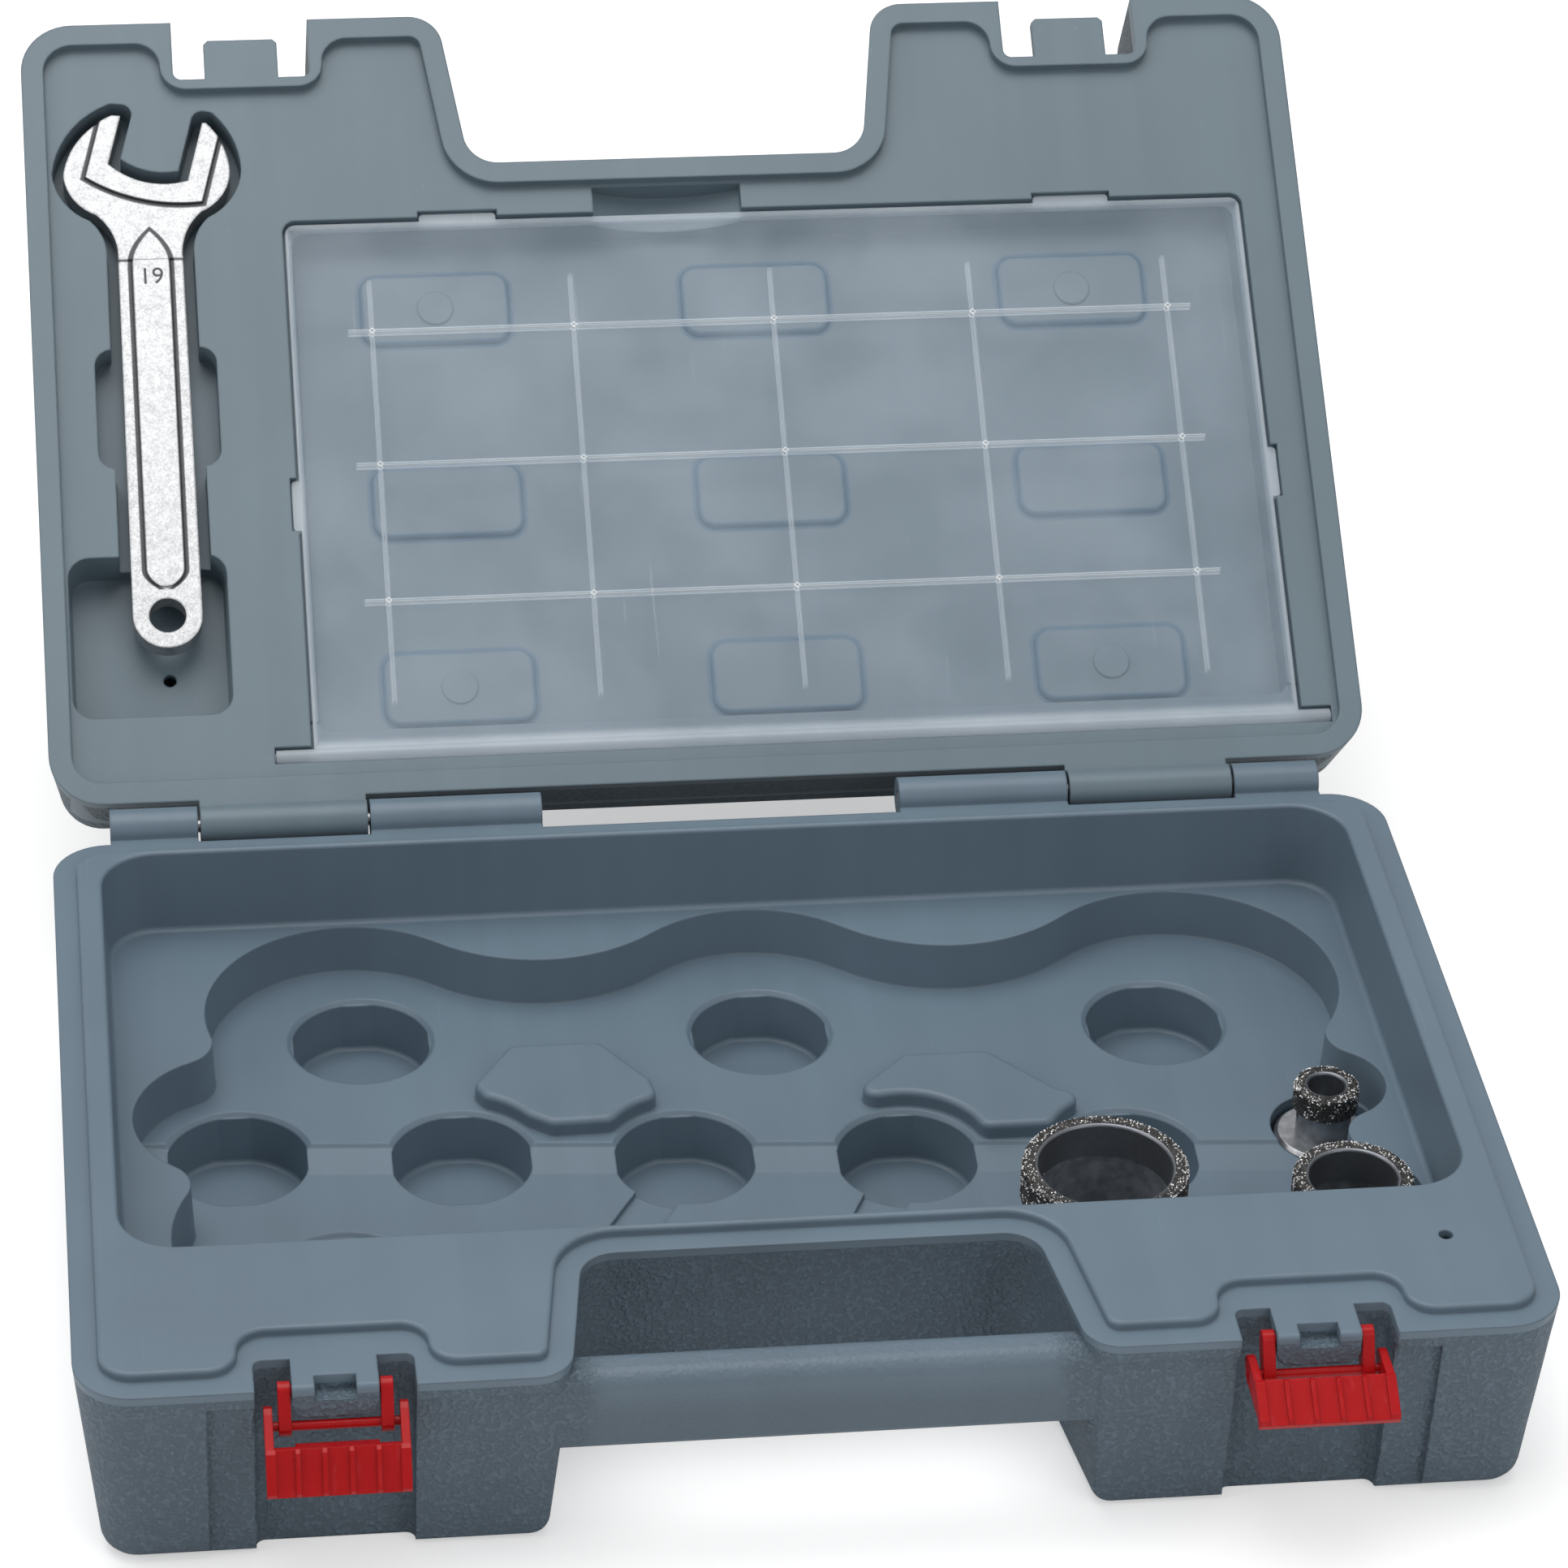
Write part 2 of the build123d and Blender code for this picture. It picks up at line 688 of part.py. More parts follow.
def jaw_opening(grow):
    """Opening of the jaw, turned from the handle, open past the prongs; its floor bulges down."""
    turn = radians(jaw_turn)
    right, upward = (cos(turn), -sin(turn)), (sin(turn), cos(turn))

    def turned(across, up):
        return head_point(across * right[0] + up * upward[0], across * right[1] + up * upward[1])

    half = jaw_size / 2 + grow
    floor = jaw_floor - grow
    with BuildSketch() as opening:
        with BuildLine():
            Line(turned(-half, floor), turned(-half, 2 * head_tip))
            Line(turned(-half, 2 * head_tip), turned(half, 2 * head_tip))
            Line(turned(half, 2 * head_tip), turned(half, floor))
            ThreePointArc(turned(half, floor), turned(0, floor - jaw_bulge), turned(-half, floor))
        make_face()
    return opening.sketch


def spanner_outline():
    """Open-ended spanner seen from its flat side: pointed prongs, waisted neck, rounded tail."""
    half, handle, tail = head_half, handle_width / 2, handle_tail / 2 - 0.6
    end = spanner_tail - spanner_head
    with BuildSketch() as outline:
        with BuildLine():
            for side in (-1, 1):
                tip = -7.5 if side < 0 else 14.4
                crown = head_tip if side < 0 else head_tip - 2.7
                ThreePointArc(
                    head_point(tip, crown),
                    head_point(side * half * (0.84 if side < 0 else 0.935), crown * 0.56),
                    head_point(side * half, 1.0),
                )
                ThreePointArc(
                    head_point(side * half, 1.0),
                    head_point(side * half * 0.9, -4.8),
                    head_point(side * half * 0.63, -9.2),
                )
                ThreePointArc(
                    head_point(side * half * 0.63, -9.2),
                    head_point(side * half * 0.44, -14.4),
                    head_point(side * handle, -neck_drop),
                )
                Line(head_point(side * handle, -neck_drop), head_point(side * tail, end))
            ThreePointArc(head_point(-tail, end), head_point(0, end - tail), head_point(tail, end))
            Line(head_point(-7.5, head_tip), head_point(14.4, head_tip - 2.7))
        make_face()
        add(jaw_opening(0), mode=Mode.SUBTRACT)
    return outline.sketch


def spanner_space(skin):
    """Pocket that follows the spanner, with finger room beside the handle and a deep well at its tail."""
    left, right, near, far = well_box
    whole = spanner_outline()
    with BuildPart() as space:
        with BuildSketch(Plane.XY.offset(deck_z)):
            add(whole)
            offset(amount=pocket_play + skin, mode=Mode.REPLACE)
            with Locations((spanner_x, finger_room_y)):
                RectangleRounded(handle_width + 2 * (finger_room + skin), finger_room_length + 2 * skin, 4)
        extrude(amount=-(spanner_bed + skin))
        with BuildSketch(Plane.XY.offset(deck_z)):
            with Locations(((left + right) / 2, (near + far) / 2)):
                RectangleRounded(right - left + 2 * skin, far - near + 2 * skin, 5 + skin)
        extrude(amount=-(well_box_depth + skin), taper=pocket_draft)
    return space.part


def lid_form(inset):
    """The upper half as a lump with its spaces, drawn in by inset, in the outline frame."""
    lump = outside_form(inset, lid_thickness, False)
    deck = deck_outline(-inset)
    bays = latch_bays(inset, lid_bay_depth, lid_thickness)
    spaces = (bin_space(inset), spanner_space(inset))
    with BuildPart() as form:
        add(lump)
        add(bays, mode=Mode.SUBTRACT)
        with BuildSketch():
            add(deck)
        extrude(amount=-(lid_deck_depth + inset), mode=Mode.SUBTRACT)
        for space in spaces:
            add(space, mode=Mode.SUBTRACT)
    return form.part


def lid_knuckle_plane(x):
    """Across the hinge axis at x, local x up the lid, local y out of its inner face."""
    return Plane(origin=(x, hinge_y, hinge_z), x_dir=lid_up, z_dir=(1, 0, 0))


def lid_tab(side):
    """Tab that the hook of a latch catches, flush with the rim of the lid."""
    root = case_depth - lid_bay_depth - wall
    with BuildPart() as tab:
        with BuildSketch():
            with Locations((side * latch_x, root)):
                Rectangle(
                    2 * tab_half, case_depth - lid_tab_reach - root, align=(Align.CENTER, Align.MIN)
                )
        extrude(amount=-lid_tab_plate)
        tip = tab.edges().filter_by(Axis.Z).group_by(Axis.Y)[-1]
        chamfer(tip, edge_round)
    return tab.part


def outer_field(height):
    """Shallow field in the outer face of a half, which stiffens it, in the outline frame."""
    with BuildPart() as field:
        with BuildSketch(Plane.XY.offset(-height)):
            with Locations((0, field_centre)):
                RectangleRounded(field_length, field_width, corner_radius)
        extrude(amount=field_sink)
        with BuildSketch(Plane.XY.offset(-height)):
            with Locations((0, field_centre)):
                RectangleRounded(field_length - 50, field_width - 40, corner_radius / 2)
        extrude(amount=2 * field_sink)
    return field.part


lid_lump = lid_form(0)
lid_hollow = lid_form(wall)
bin_pads = pads()
sunk_field = outer_field(lid_thickness)
lid_knuckles = knuckles(lid_knuckle_plane, True)
lid_tabs = (lid_tab(-1), lid_tab(1))
lid_frame = lid_rim_plane(0).location
with BuildPart() as lid_shell:
    add(lid_lump.moved(lid_frame))
    add(lid_hollow.moved(lid_frame), mode=Mode.SUBTRACT)
    add(sunk_field.moved(lid_frame), mode=Mode.SUBTRACT)
    add(bin_pads.moved(lid_frame))
    with Locations(lid_frame * Location((spanner_x, 35.0, -lid_deck_depth - well_box_depth))):
        Cylinder(vent_radius, 3 * wall, mode=Mode.SUBTRACT)
    add(lid_knuckles)
    socket_start = rod_left - side_play - socket_depth
    with BuildSketch(
        Plane(origin=lid_point(socket_start, rod_from_edge, rod_level), x_dir=lid_up, z_dir=(1, 0, 0))
    ):
        Circle(rod_pivot_radius + pin_play)
    extrude(amount=rod_right - rod_left + 2 * (side_play + socket_depth), mode=Mode.SUBTRACT)
    for tab in lid_tabs:
        add(tab.moved(lid_frame))


# ---------------------------------------------------------------- hinge pins
def hinge_pin(side):
    length = hinge_outer - hinge_inner
    with BuildPart() as pin:
        with BuildSketch(Plane.YZ.offset(side * (hinge_inner + hinge_outer) / 2 - length / 2)):
            with Locations((hinge_y, hinge_z)):
                Circle(pin_radius)
        extrude(amount=length)
        chamfer(pin.edges().filter_by(GeomType.CIRCLE), pin_radius / 4)
    return pin.part


with BuildPart() as hinge_pin_left:
    add(hinge_pin(-1))
with BuildPart() as hinge_pin_right:
    add(hinge_pin(1))


# ---------------------------------------------------------------- latches
# Angles at rest: the link from straight down towards the front, the lever the same way.
latch_rest = {-1: (25.0, 25.0), 1: (28.0, 58.0)}

def link_end(angle):
    """Where the link's bar stands when the link is at this angle."""
    return (
        pivot_y - link_length * sin(radians(angle)),
        pivot_z - link_length * cos(radians(angle)),
    )


def latch_plane(x, y, z, angle):
    """Across a latch at x: local x to the back and local y up before the turn by angle."""
    turn = radians(angle)
    return Plane(origin=(x, y, z), x_dir=(0, cos(turn), -sin(turn)), z_dir=(1, 0, 0))


def latch_link(side):
    """Bail of a latch: two arms that clip into the tab, and the bar that catches the lid."""
    centre = side * latch_x
    angle = latch_rest[side][0]
    with BuildPart() as link:
        for end in (-1, 1):
            with BuildSketch(latch_plane(centre + end * arm_inner, pivot_y, pivot_z, angle)):
                with Locations((0, -link_length / 2)):
                    SlotCenterToCenter(link_length, link_width, rotation=90)
            extrude(amount=end * link_arm)
            with BuildSketch(latch_plane(centre + end * arm_inner, pivot_y, pivot_z, angle)):
                Circle(peg_radius)
            extrude(amount=-end * (peg_depth - side_play))
        end_y, end_z = link_end(angle)
        with BuildSketch(latch_plane(centre - lever_inner - 1, end_y, end_z, angle)):
            Circle(bar_radius)
        extrude(amount=2 * (lever_inner + 1))
    return link.part


def latch_lever(side):
    """Finger lever: a ribbed plate between two horned cheeks, stiffened by a web behind it."""
    centre = side * latch_x
    end_y, end_z = link_end(latch_rest[side][0])
    turn = latch_rest[side][1]
    back = -lever_stand_off
    front = back - lever_plate
    horn_half = link_width / 2
    with BuildPart() as lever:
        with BuildSketch(latch_plane(centre - lever_half, end_y, end_z, turn)):
            Polygon(
                (front, -lever_top), (back, -lever_top), (back, -lever_length), (front, -lever_length),
                align=None,
            )
        extrude(amount=2 * lever_half)
        for end in (-1, 1):
            with BuildSketch(latch_plane(centre + end * lever_half, end_y, end_z, turn)):
                Circle(horn_half)
                Polygon(
                    (front, -lever_top), (-horn_half, lever_horn - 1), (-horn_half + 1, lever_horn),
                    (horn_half - 1, lever_horn), (horn_half, 0), (0, -lever_top), (back, -lever_length * 0.8),
                    (front, -lever_length * 0.8), align=None,
                )
                Circle(bar_radius + peg_play, mode=Mode.SUBTRACT)
            extrude(amount=-end * lever_cheek)
        with BuildSketch(latch_plane(centre - arm_inner + 2 * side_play, end_y, end_z, turn)):
            with Locations((back, -lever_top)):
                Rectangle(web_reach_in, web_thickness, align=(Align.MIN, Align.MAX))
        extrude(amount=2 * (arm_inner - 2 * side_play))
        rib_pitch = 2 * (lever_half - rib_edge) / (rib_count - 1)
        for k in range(rib_count):
            width = 2 * rib_edge if k in (0, rib_count - 1) else rib_edge
            rib_x = centre - lever_half + rib_edge + k * rib_pitch
            with BuildSketch(latch_plane(rib_x - width / 2, end_y, end_z, turn)):
                Polygon(
                    (front, -lever_top), (front - rib_proud, -lever_top - rib_proud),
                    (front - rib_proud, rib_proud - lever_length), (front, -lever_length), align=None,
                )
            extrude(amount=width)
    return lever.part


with BuildPart() as latch_link_left:
    add(latch_link(-1))
with BuildPart() as latch_link_right:
    add(latch_link(1))
with BuildPart() as latch_lever_left:
    add(latch_lever(-1))
with BuildPart() as latch_lever_right:
    add(latch_lever(1))


# ---------------------------------------------------------------- clear cover of the bin
cover_left, cover_right = bin_left + cover_play, bin_right - cover_play
cover_far = bin_far - cover_play
cover_top = lid_deck_depth + rebate_depth - seat_gap - cover_thickness

with BuildPart() as bin_cover:
    with BuildSketch(lid_rim_plane(cover_top)) as cover_face:
        with Locations(((cover_left + cover_right) / 2, (rod_from_edge + cover_far) / 2)):
            Rectangle(cover_right - cover_left, cover_far - rod_from_edge)
        fillet(cover_face.vertices().group_by(Axis.Y)[-1], 3 - cover_play)
        with Locations(*[(x, bin_far) for x in cover_tab_x]):
            RectangleRounded(cover_tab_length, 2 * cover_tab, 1)
        with Locations((bin_left, cover_side_tab_y), (bin_right, cover_side_tab_y)):
            RectangleRounded(2 * cover_tab, cover_tab_length * 0.7, 1)
    extrude(amount=-cover_thickness)
    rod_start = Plane(origin=lid_point(rod_left, rod_from_edge, rod_level), x_dir=lid_up, z_dir=(1, 0, 0))
    with BuildSketch(rod_start):
        Circle(rod_radius)
    extrude(amount=rod_right - rod_left)
    with BuildSketch(rod_start.offset(-rod_pivot_length)):
        Circle(rod_pivot_radius)
    extrude(amount=rod_right - rod_left + 2 * rod_pivot_length)
    with BuildSketch(lid_rim_plane(cover_top)):
        row_length = rib_columns[-1] - rib_columns[0] + 11
        column_length = rib_rows[-1] - rib_rows[0] + 38
        for x in rib_columns:
            with Locations((x, (rib_rows[0] + rib_rows[-1]) / 2 - 6)):
                Rectangle(rib_width, column_length)
        for y in rib_rows:
            with Locations(((rib_columns[0] + rib_columns[-1]) / 2, y)):
                Rectangle(row_length, rib_width)
    extrude(amount=rib_height)


# ---------------------------------------------------------------- spanner
def raised_field():
    """Field on the handle, rounded at the tail and ending in a pointed arch at the head."""
    half = panel_field / 2
    low, high = panel_low + half, panel_high - panel_arch
    with BuildSketch() as field:
        with BuildLine():
            ThreePointArc(
                (spanner_x - half, low), (spanner_x, low - half), (spanner_x + half, low)
            )
            for side in (-1, 1):
                Line((spanner_x + side * half, low), (spanner_x + side * half, high))
                ThreePointArc(
                    (spanner_x + side * half, high),
                    (spanner_x + side * half * 0.68, high + panel_arch * 0.58),
                    (spanner_x, panel_high),
                )
        make_face()
    return field.sketch


spanner_face = spanner_outline()
handle_field = raised_field()
band_limit = jaw_opening(jaw_band)
with BuildPart() as spanner:
    middle = spanner_top + band_thickness / 2
    with BuildSketch(lid_rim_plane(middle)):
        add(spanner_face)
    extrude(amount=handle_thickness / 2, both=True)
    with BuildSketch(lid_rim_plane(middle)):
        add(spanner_face)
        with Locations((spanner_x, spanner_head - neck_drop)):
            Rectangle(4 * head_half, 4 * head_half, align=(Align.CENTER, Align.MIN), mode=Mode.INTERSECT)
    extrude(amount=head_thickness / 2, both=True)
    with BuildSketch(lid_rim_plane(middle)):
        add(spanner_face)
        add(band_limit, mode=Mode.INTERSECT)
    extrude(amount=band_thickness / 2, both=True)
    with BuildSketch(lid_rim_plane(middle)):
        add(handle_field)
    extrude(amount=handle_thickness / 2 + panel_proud, both=True)
    with BuildSketch(lid_rim_plane(spanner_top)):
        with Locations((spanner_x, spanner_tail)):
            Circle(hanging_hole)
    extrude(amount=-band_thickness, mode=Mode.SUBTRACT)


# ---------------------------------------------------------------- hole cutters
def seat_level(level):
    return level + seat_gap


def turned_piece(place, outline):
    """Solid of revolution about an upright axis through a seat."""
    with BuildPart() as body:
        with BuildSketch(Plane.XZ):
            Polygon(*outline, align=None)
        revolve(axis=Axis.Z)
    return body.part.moved(Location((place[0], place[1], 0)))


def cutter_hub(place):
    """Bored steel boss that carries a cup, standing on the floor of a well."""
    low = seat_level(well_floor_level)
    shoulder = low + hub_height
    return turned_piece(place, (
        (bore_radius, low), (hub_radius - hub_bevel, low), (hub_radius, low + hub_bevel),
        (hub_radius, shoulder), (bore_radius, shoulder),
    ))


def cutter_cup(place, cup_radius, top):
    """Steel cup welded to its hub, open end up."""
    shoulder = seat_level(well_floor_level) + hub_height
    segment = top - grit_height
    inner = cup_radius - cup_wall
    return turned_piece(place, (
        (bore_radius, shoulder), (cup_radius, shoulder), (cup_radius, segment), (inner, segment),
        (inner, shoulder + cup_floor), (bore_radius, shoulder + cup_floor),
    ))


def grit_ring(place, outer, inner, top, height=grit_height):
    """Sintered diamond segment on the open end of a cutter."""
    with BuildPart() as ring:
        with BuildSketch(Plane.XY.offset(top - height)):
            Circle(outer + grit_proud)
            Circle(inner - grit_proud, mode=Mode.SUBTRACT)
        extrude(amount=height)
        fillet(ring.edges().group_by(Axis.Z)[-1], 0.7)
    return ring.part.moved(Location((place[0], place[1], 0)))


large_place = hand_row[3]
medium_place = hand_row[4]

with BuildPart() as large_cutter_hub:
    add(cutter_hub(large_place))
with BuildPart() as large_cutter_cup:
    add(cutter_cup(large_place, large_radius, large_top))
with BuildPart() as large_cutter_grit:
    add(grit_ring(large_place, large_radius, large_radius - cup_wall, large_top))
with BuildPart() as medium_cutter_hub:
    add(cutter_hub(medium_place))
with BuildPart() as medium_cutter_cup:
    add(cutter_cup(medium_place, medium_radius, medium_top))
with BuildPart() as medium_cutter_grit:
    add(grit_ring(medium_place, medium_radius, medium_radius - cup_wall, medium_top))


def small_cutter_pieces(place):
    """Narrow cutter: a threaded hub disc and the thick-walled shank fixed in it."""
    low = seat_level(well_floor_level)
    shoulder = low + hub_height
    segment = small_top - small_grit_height
    shank_radius = small_radius - grit_proud
    inner = small_radius - small_wall
    hub = turned_piece(place, (
        (small_bore, low), (small_hub - hub_bevel, low), (small_hub, low + hub_bevel),
        (small_hub, shoulder - hub_bevel), (small_hub - hub_bevel, shoulder), (small_bore, shoulder),
    ))
    tube = turned_piece(place, (
        (0, shoulder), (shank_radius, shoulder), (shank_radius, segment), (inner, segment),
        (inner, shoulder + cup_floor), (0, shoulder + cup_floor),
    ))
    with BuildPart() as shank:
        add(tube)
        with BuildSketch(Plane.YZ.offset(place[0])):
            with Locations((place[1], shoulder + cup_floor + knock_slot[1] / 2)):
                RectangleRounded(*knock_slot, 0.49 * knock_slot[0])
        extrude(amount=2 * shank_radius, both=True, mode=Mode.SUBTRACT)
    return hub, shank.part


small_hub_part, small_shank_part = small_cutter_pieces(small_well)
with BuildPart() as small_cutter_hub:
    add(small_hub_part)
with BuildPart() as small_cutter_shank:
    add(small_shank_part)
with BuildPart() as small_cutter_grit:
    add(grit_ring(small_well, small_radius, small_radius - small_wall, small_top, small_grit_height))


# ---------------------------------------------------------------- labels and files
pieces = {
    "base_shell": base_shell,
    "lid_shell": lid_shell,
    "hinge_pin_left": hinge_pin_left,
    "hinge_pin_right": hinge_pin_right,
    "latch_link_left": latch_link_left,
    "latch_link_right": latch_link_right,
    "latch_lever_left": latch_lever_left,
    "latch_lever_right": latch_lever_right,
    "bin_cover": bin_cover,
    "spanner": spanner,
    "large_cutter_hub": large_cutter_hub,
    "large_cutter_cup": large_cutter_cup,
    "large_cutter_grit": large_cutter_grit,
    "medium_cutter_hub": medium_cutter_hub,
    "medium_cutter_cup": medium_cutter_cup,
    "medium_cutter_grit": medium_cutter_grit,
    "small_cutter_hub": small_cutter_hub,
    "small_cutter_shank": small_cutter_shank,
    "small_cutter_grit": small_cutter_grit,
}
for name, piece in pieces.items():
    piece.part.label = name
    export_step(piece.part, f"parts/{name}.step")
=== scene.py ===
"""Storage case for hole cutters, standing open: finishes, diamond grains, size mark, lamps and camera."""

import math

import bmesh
import bpy
from bpy.props import FloatProperty, FloatVectorProperty, IntProperty, PointerProperty
from bpy.types import Operator, Panel, PropertyGroup
from mathutils import Matrix, Vector


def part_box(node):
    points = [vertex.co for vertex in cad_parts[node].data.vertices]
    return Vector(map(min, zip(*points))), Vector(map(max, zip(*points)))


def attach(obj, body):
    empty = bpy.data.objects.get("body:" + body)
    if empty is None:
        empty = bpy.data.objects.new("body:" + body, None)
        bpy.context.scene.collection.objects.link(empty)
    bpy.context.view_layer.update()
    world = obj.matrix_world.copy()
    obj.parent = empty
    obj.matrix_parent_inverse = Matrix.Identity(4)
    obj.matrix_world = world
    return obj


bl_info = {
    "name": "Hole cutter case",
    "version": (1, 0, 0),
    "blender": (4, 5, 0),
    "location": "View3D > Sidebar > Cutter case",
    "description": "Finishes a blow-moulded tool case, its latches, cover, spanner and cutters",
    "category": "Object",
}

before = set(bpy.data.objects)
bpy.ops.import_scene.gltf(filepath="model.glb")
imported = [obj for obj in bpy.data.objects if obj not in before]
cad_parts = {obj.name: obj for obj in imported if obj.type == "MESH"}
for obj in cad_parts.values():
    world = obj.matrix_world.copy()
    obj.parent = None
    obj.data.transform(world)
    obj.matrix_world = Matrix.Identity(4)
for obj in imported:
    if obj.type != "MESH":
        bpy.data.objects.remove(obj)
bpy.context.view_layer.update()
MM = 0.001
FULL_TURN = 6.283
CUTTERS = ("large", "medium", "small")

# ---------------------------------------------------------------- the lid's own frame
LID_TILT = math.radians(54.0)
HINGE = Vector((0.0, 0.104, 0.04615))
LID_UP = Vector((0.0, math.sin(LID_TILT), math.cos(LID_TILT)))
LID_FACE = Vector((0.0, -math.cos(LID_TILT), math.sin(LID_TILT)))
RIM_EDGE = 6.0 * MM         # hinge axis to the rear rim edge
RIM_GAP = 0.15 * MM

# Sizes on the lid, in millimetres across it and up from its rear rim edge.
PAD_X, PAD_Y = (-56.0, 19.5, 95.0), (29.5, 76.0, 125.0)     # middles of the pads on the bin's floor
PAD_HALF, PAD_CORNER = (17.5, 9.0), 4.0                     # half their sizes, radius of their corners
SCORES_X, SCORES_Y = (-71.5, -24.5, 22.5, 69.5, 116.0), (48.2, 82.2, 116.0)     # lines in the cover
COVER_X, COVER_HALF, COVER_LOW, COVER_HIGH = 22.75, 113.0, 13.0, 143.6
SPANNER_X, SPANNER_HEAD, JAW_TURN = -121.8, 157.5, math.radians(15.0)           # centre of its head
FIGURE_Y, FIGURE_DEPTH = 132.0, 3.8                         # its size mark, and how deep its face lies


def on_lid(x, from_edge, depth):
    """A point of the lid in metres: from_edge up from its rear rim edge, depth below its rim."""
    return HINGE + Vector((x, 0, 0)) + LID_UP * (RIM_EDGE + from_edge) - LID_FACE * (depth + RIM_GAP)


TO_LID = {
    "turn": (LID_TILT - math.pi / 2, 0, 0),
    "shift": (0, -HINGE.dot(LID_UP) - RIM_EDGE, -HINGE.dot(LID_FACE)),
}


# ---------------------------------------------------------------- shader maths
class Wire:
    """One output socket of a material, with which sums and products are written as in plain maths."""

    def __init__(self, finish, socket):
        self.finish = finish
        self.socket = socket

    def maths(self, operation, *others):
        """The result of one Math node."""
        node = self.finish.node("ShaderNodeMath", {"operation": operation})
        for place, value in enumerate((self, *others)):
            self.finish.feed(node.inputs[place], value)
        return Wire(self.finish, node.outputs[0])

    def __add__(self, other):
        return self.maths("ADD", other)

    def __sub__(self, other):
        return self.maths("SUBTRACT", other)

    def __rsub__(self, other):
        return (self * -1.0).maths("ADD", other)

    def __mul__(self, other):
        return self.maths("MULTIPLY", other)

    __radd__ = __add__
    __rmul__ = __mul__

    def above(self, level):
        return self.maths("GREATER_THAN", level)

    def below(self, level):
        return self.maths("LESS_THAN", level)

    def size(self):
        return self.maths("ABSOLUTE")

    def either(self, other):
        return self.maths("MAXIMUM", other)

    def both(self, other):
        return self.maths("MINIMUM", other)

    def ramp(self, start, end, low=0.0, high=1.0):
        """Eases from low to high while the value goes from start to end."""
        settings = {"interpolation_type": "SMOOTHSTEP", "clamp": True}
        inputs = {"Value": self, "From Min": start, "From Max": end, "To Min": low, "To Max": high}
        node = self.finish.node("ShaderNodeMapRange", settings, inputs)
        return Wire(self.finish, node.outputs[0])


class Finish:
    """A material being built: its nodes are added by one method, and its patterns by short ones."""

    def __init__(self, name):
        self.material = bpy.data.materials.new(name)
        self.material.use_nodes = True
        self.tree = self.material.node_tree
        self.tree.nodes.clear()

    def feed(self, socket, value):
        """Links a wire or socket, or sets a plain value."""
        if isinstance(value, Wire):
            self.tree.links.new(value.socket, socket)
        elif isinstance(value, bpy.types.NodeSocket):
            self.tree.links.new(value, socket)
        else:
            socket.default_value = value

    def node(self, kind, settings=None, inputs=None):
        made = self.tree.nodes.new(kind)
        for name, value in (settings or {}).items():
            setattr(made, name, value)
        for name, value in (inputs or {}).items():
            self.feed(made.inputs[name], value)
        return made

    def place(self, turn=(0, 0, 0), shift=(0, 0, 0), stretch=(1, 1, 1)):
        """Object coordinates, turned, stretched and then shifted."""
        own = self.node("ShaderNodeTexCoord").outputs["Object"]
        inputs = {"Vector": own, "Rotation": turn, "Location": shift, "Scale": stretch}
        return self.node("ShaderNodeMapping", {"vector_type": "POINT"}, inputs).outputs[0]

    def axes(self, place):
        split = self.node("ShaderNodeSeparateXYZ", None, {0: place})
        return [Wire(self, out) for out in split.outputs]

    def noise(self, place, scale, detail=2.0, rough=0.5):
        inputs = {"Vector": place, "Scale": scale, "Detail": detail, "Roughness": rough}
        return Wire(self, self.node("ShaderNodeTexNoise", None, inputs).outputs[0])

    def cells(self, place, scale, feature="F1", smooth=None):
        settings = {"feature": feature}
        inputs = {"Vector": place, "Scale": scale}
        if smooth is not None:
            inputs["Smoothness"] = smooth
        return self.node("ShaderNodeTexVoronoi", settings, inputs)

    def blend(self, amount, low, high):
        """Colour that goes from low to high with amount."""
        node = self.node("ShaderNodeMix", {"data_type": "RGBA"})
        self.feed(node.inputs[0], amount)
        self.feed(node.inputs[6], low)
        self.feed(node.inputs[7], high)
        return node.outputs[2]

    def bump(self, height, depth, under=None):
        """Relief of a depth in metres, over another normal where one is given."""
        inputs = {"Height": height, "Distance": depth, "Strength": 1.0}
        if under is not None:
            inputs["Normal"] = under
        return self.node("ShaderNodeBump", None, inputs).outputs[0]

    def soft_edge(self, radius):
        """The normal of the shape with its edges rounded."""
        return self.node("ShaderNodeBevel", {"samples": 4}, {"Radius": radius}).outputs[0]

    def close(self, **inputs):
        """Ends the material in one Principled shader; a keyword's underscores stand for spaces."""
        shader = self.node("ShaderNodeBsdfPrincipled")
        for name, value in inputs.items():
            self.feed(shader.inputs[name.replace("_", " ")], value)
        out = self.node("ShaderNodeOutputMaterial")
        self.tree.links.new(shader.outputs[0], out.inputs[0])
        return self.material


def rgb(values, factor=1.0):
    """A colour socket's value, made lighter or darker by a factor."""
    return (*(min(1.0, v * factor) for v in values), 1.0)


# ---------------------------------------------------------------- finishes
def pebbled_part(x, y, z, on_the_lid):
    """Mask of the outside walls, which carry the pebble grain, unlike the decks, hollows and hinge."""
    hinge_radius = 5.2 * MM
    if on_the_lid:
        beside_notch = x.above(-98.5 * MM).both(y.above(154.5 * MM))
        border = x.size().above(145.5 * MM).either(y.below(1.5 * MM)).either(beside_notch)
        border = border.either(y.above(182.5 * MM))
        outside = z.below(-16.5 * MM).either(border.both(z.below(-3.4 * MM)))
        rear, high = y + RIM_EDGE, z
    else:
        border = x.size().above(142.0 * MM).either(y.above(93.0 * MM)).either(y.below(-54.5 * MM))
        outside = border.both(z.below(44.0 * MM)).either(z.below(1.5 * MM))
        rear, high = y - HINGE.y, z - HINGE.z
    return outside.both((rear * rear + high * high).above(hinge_radius ** 2))


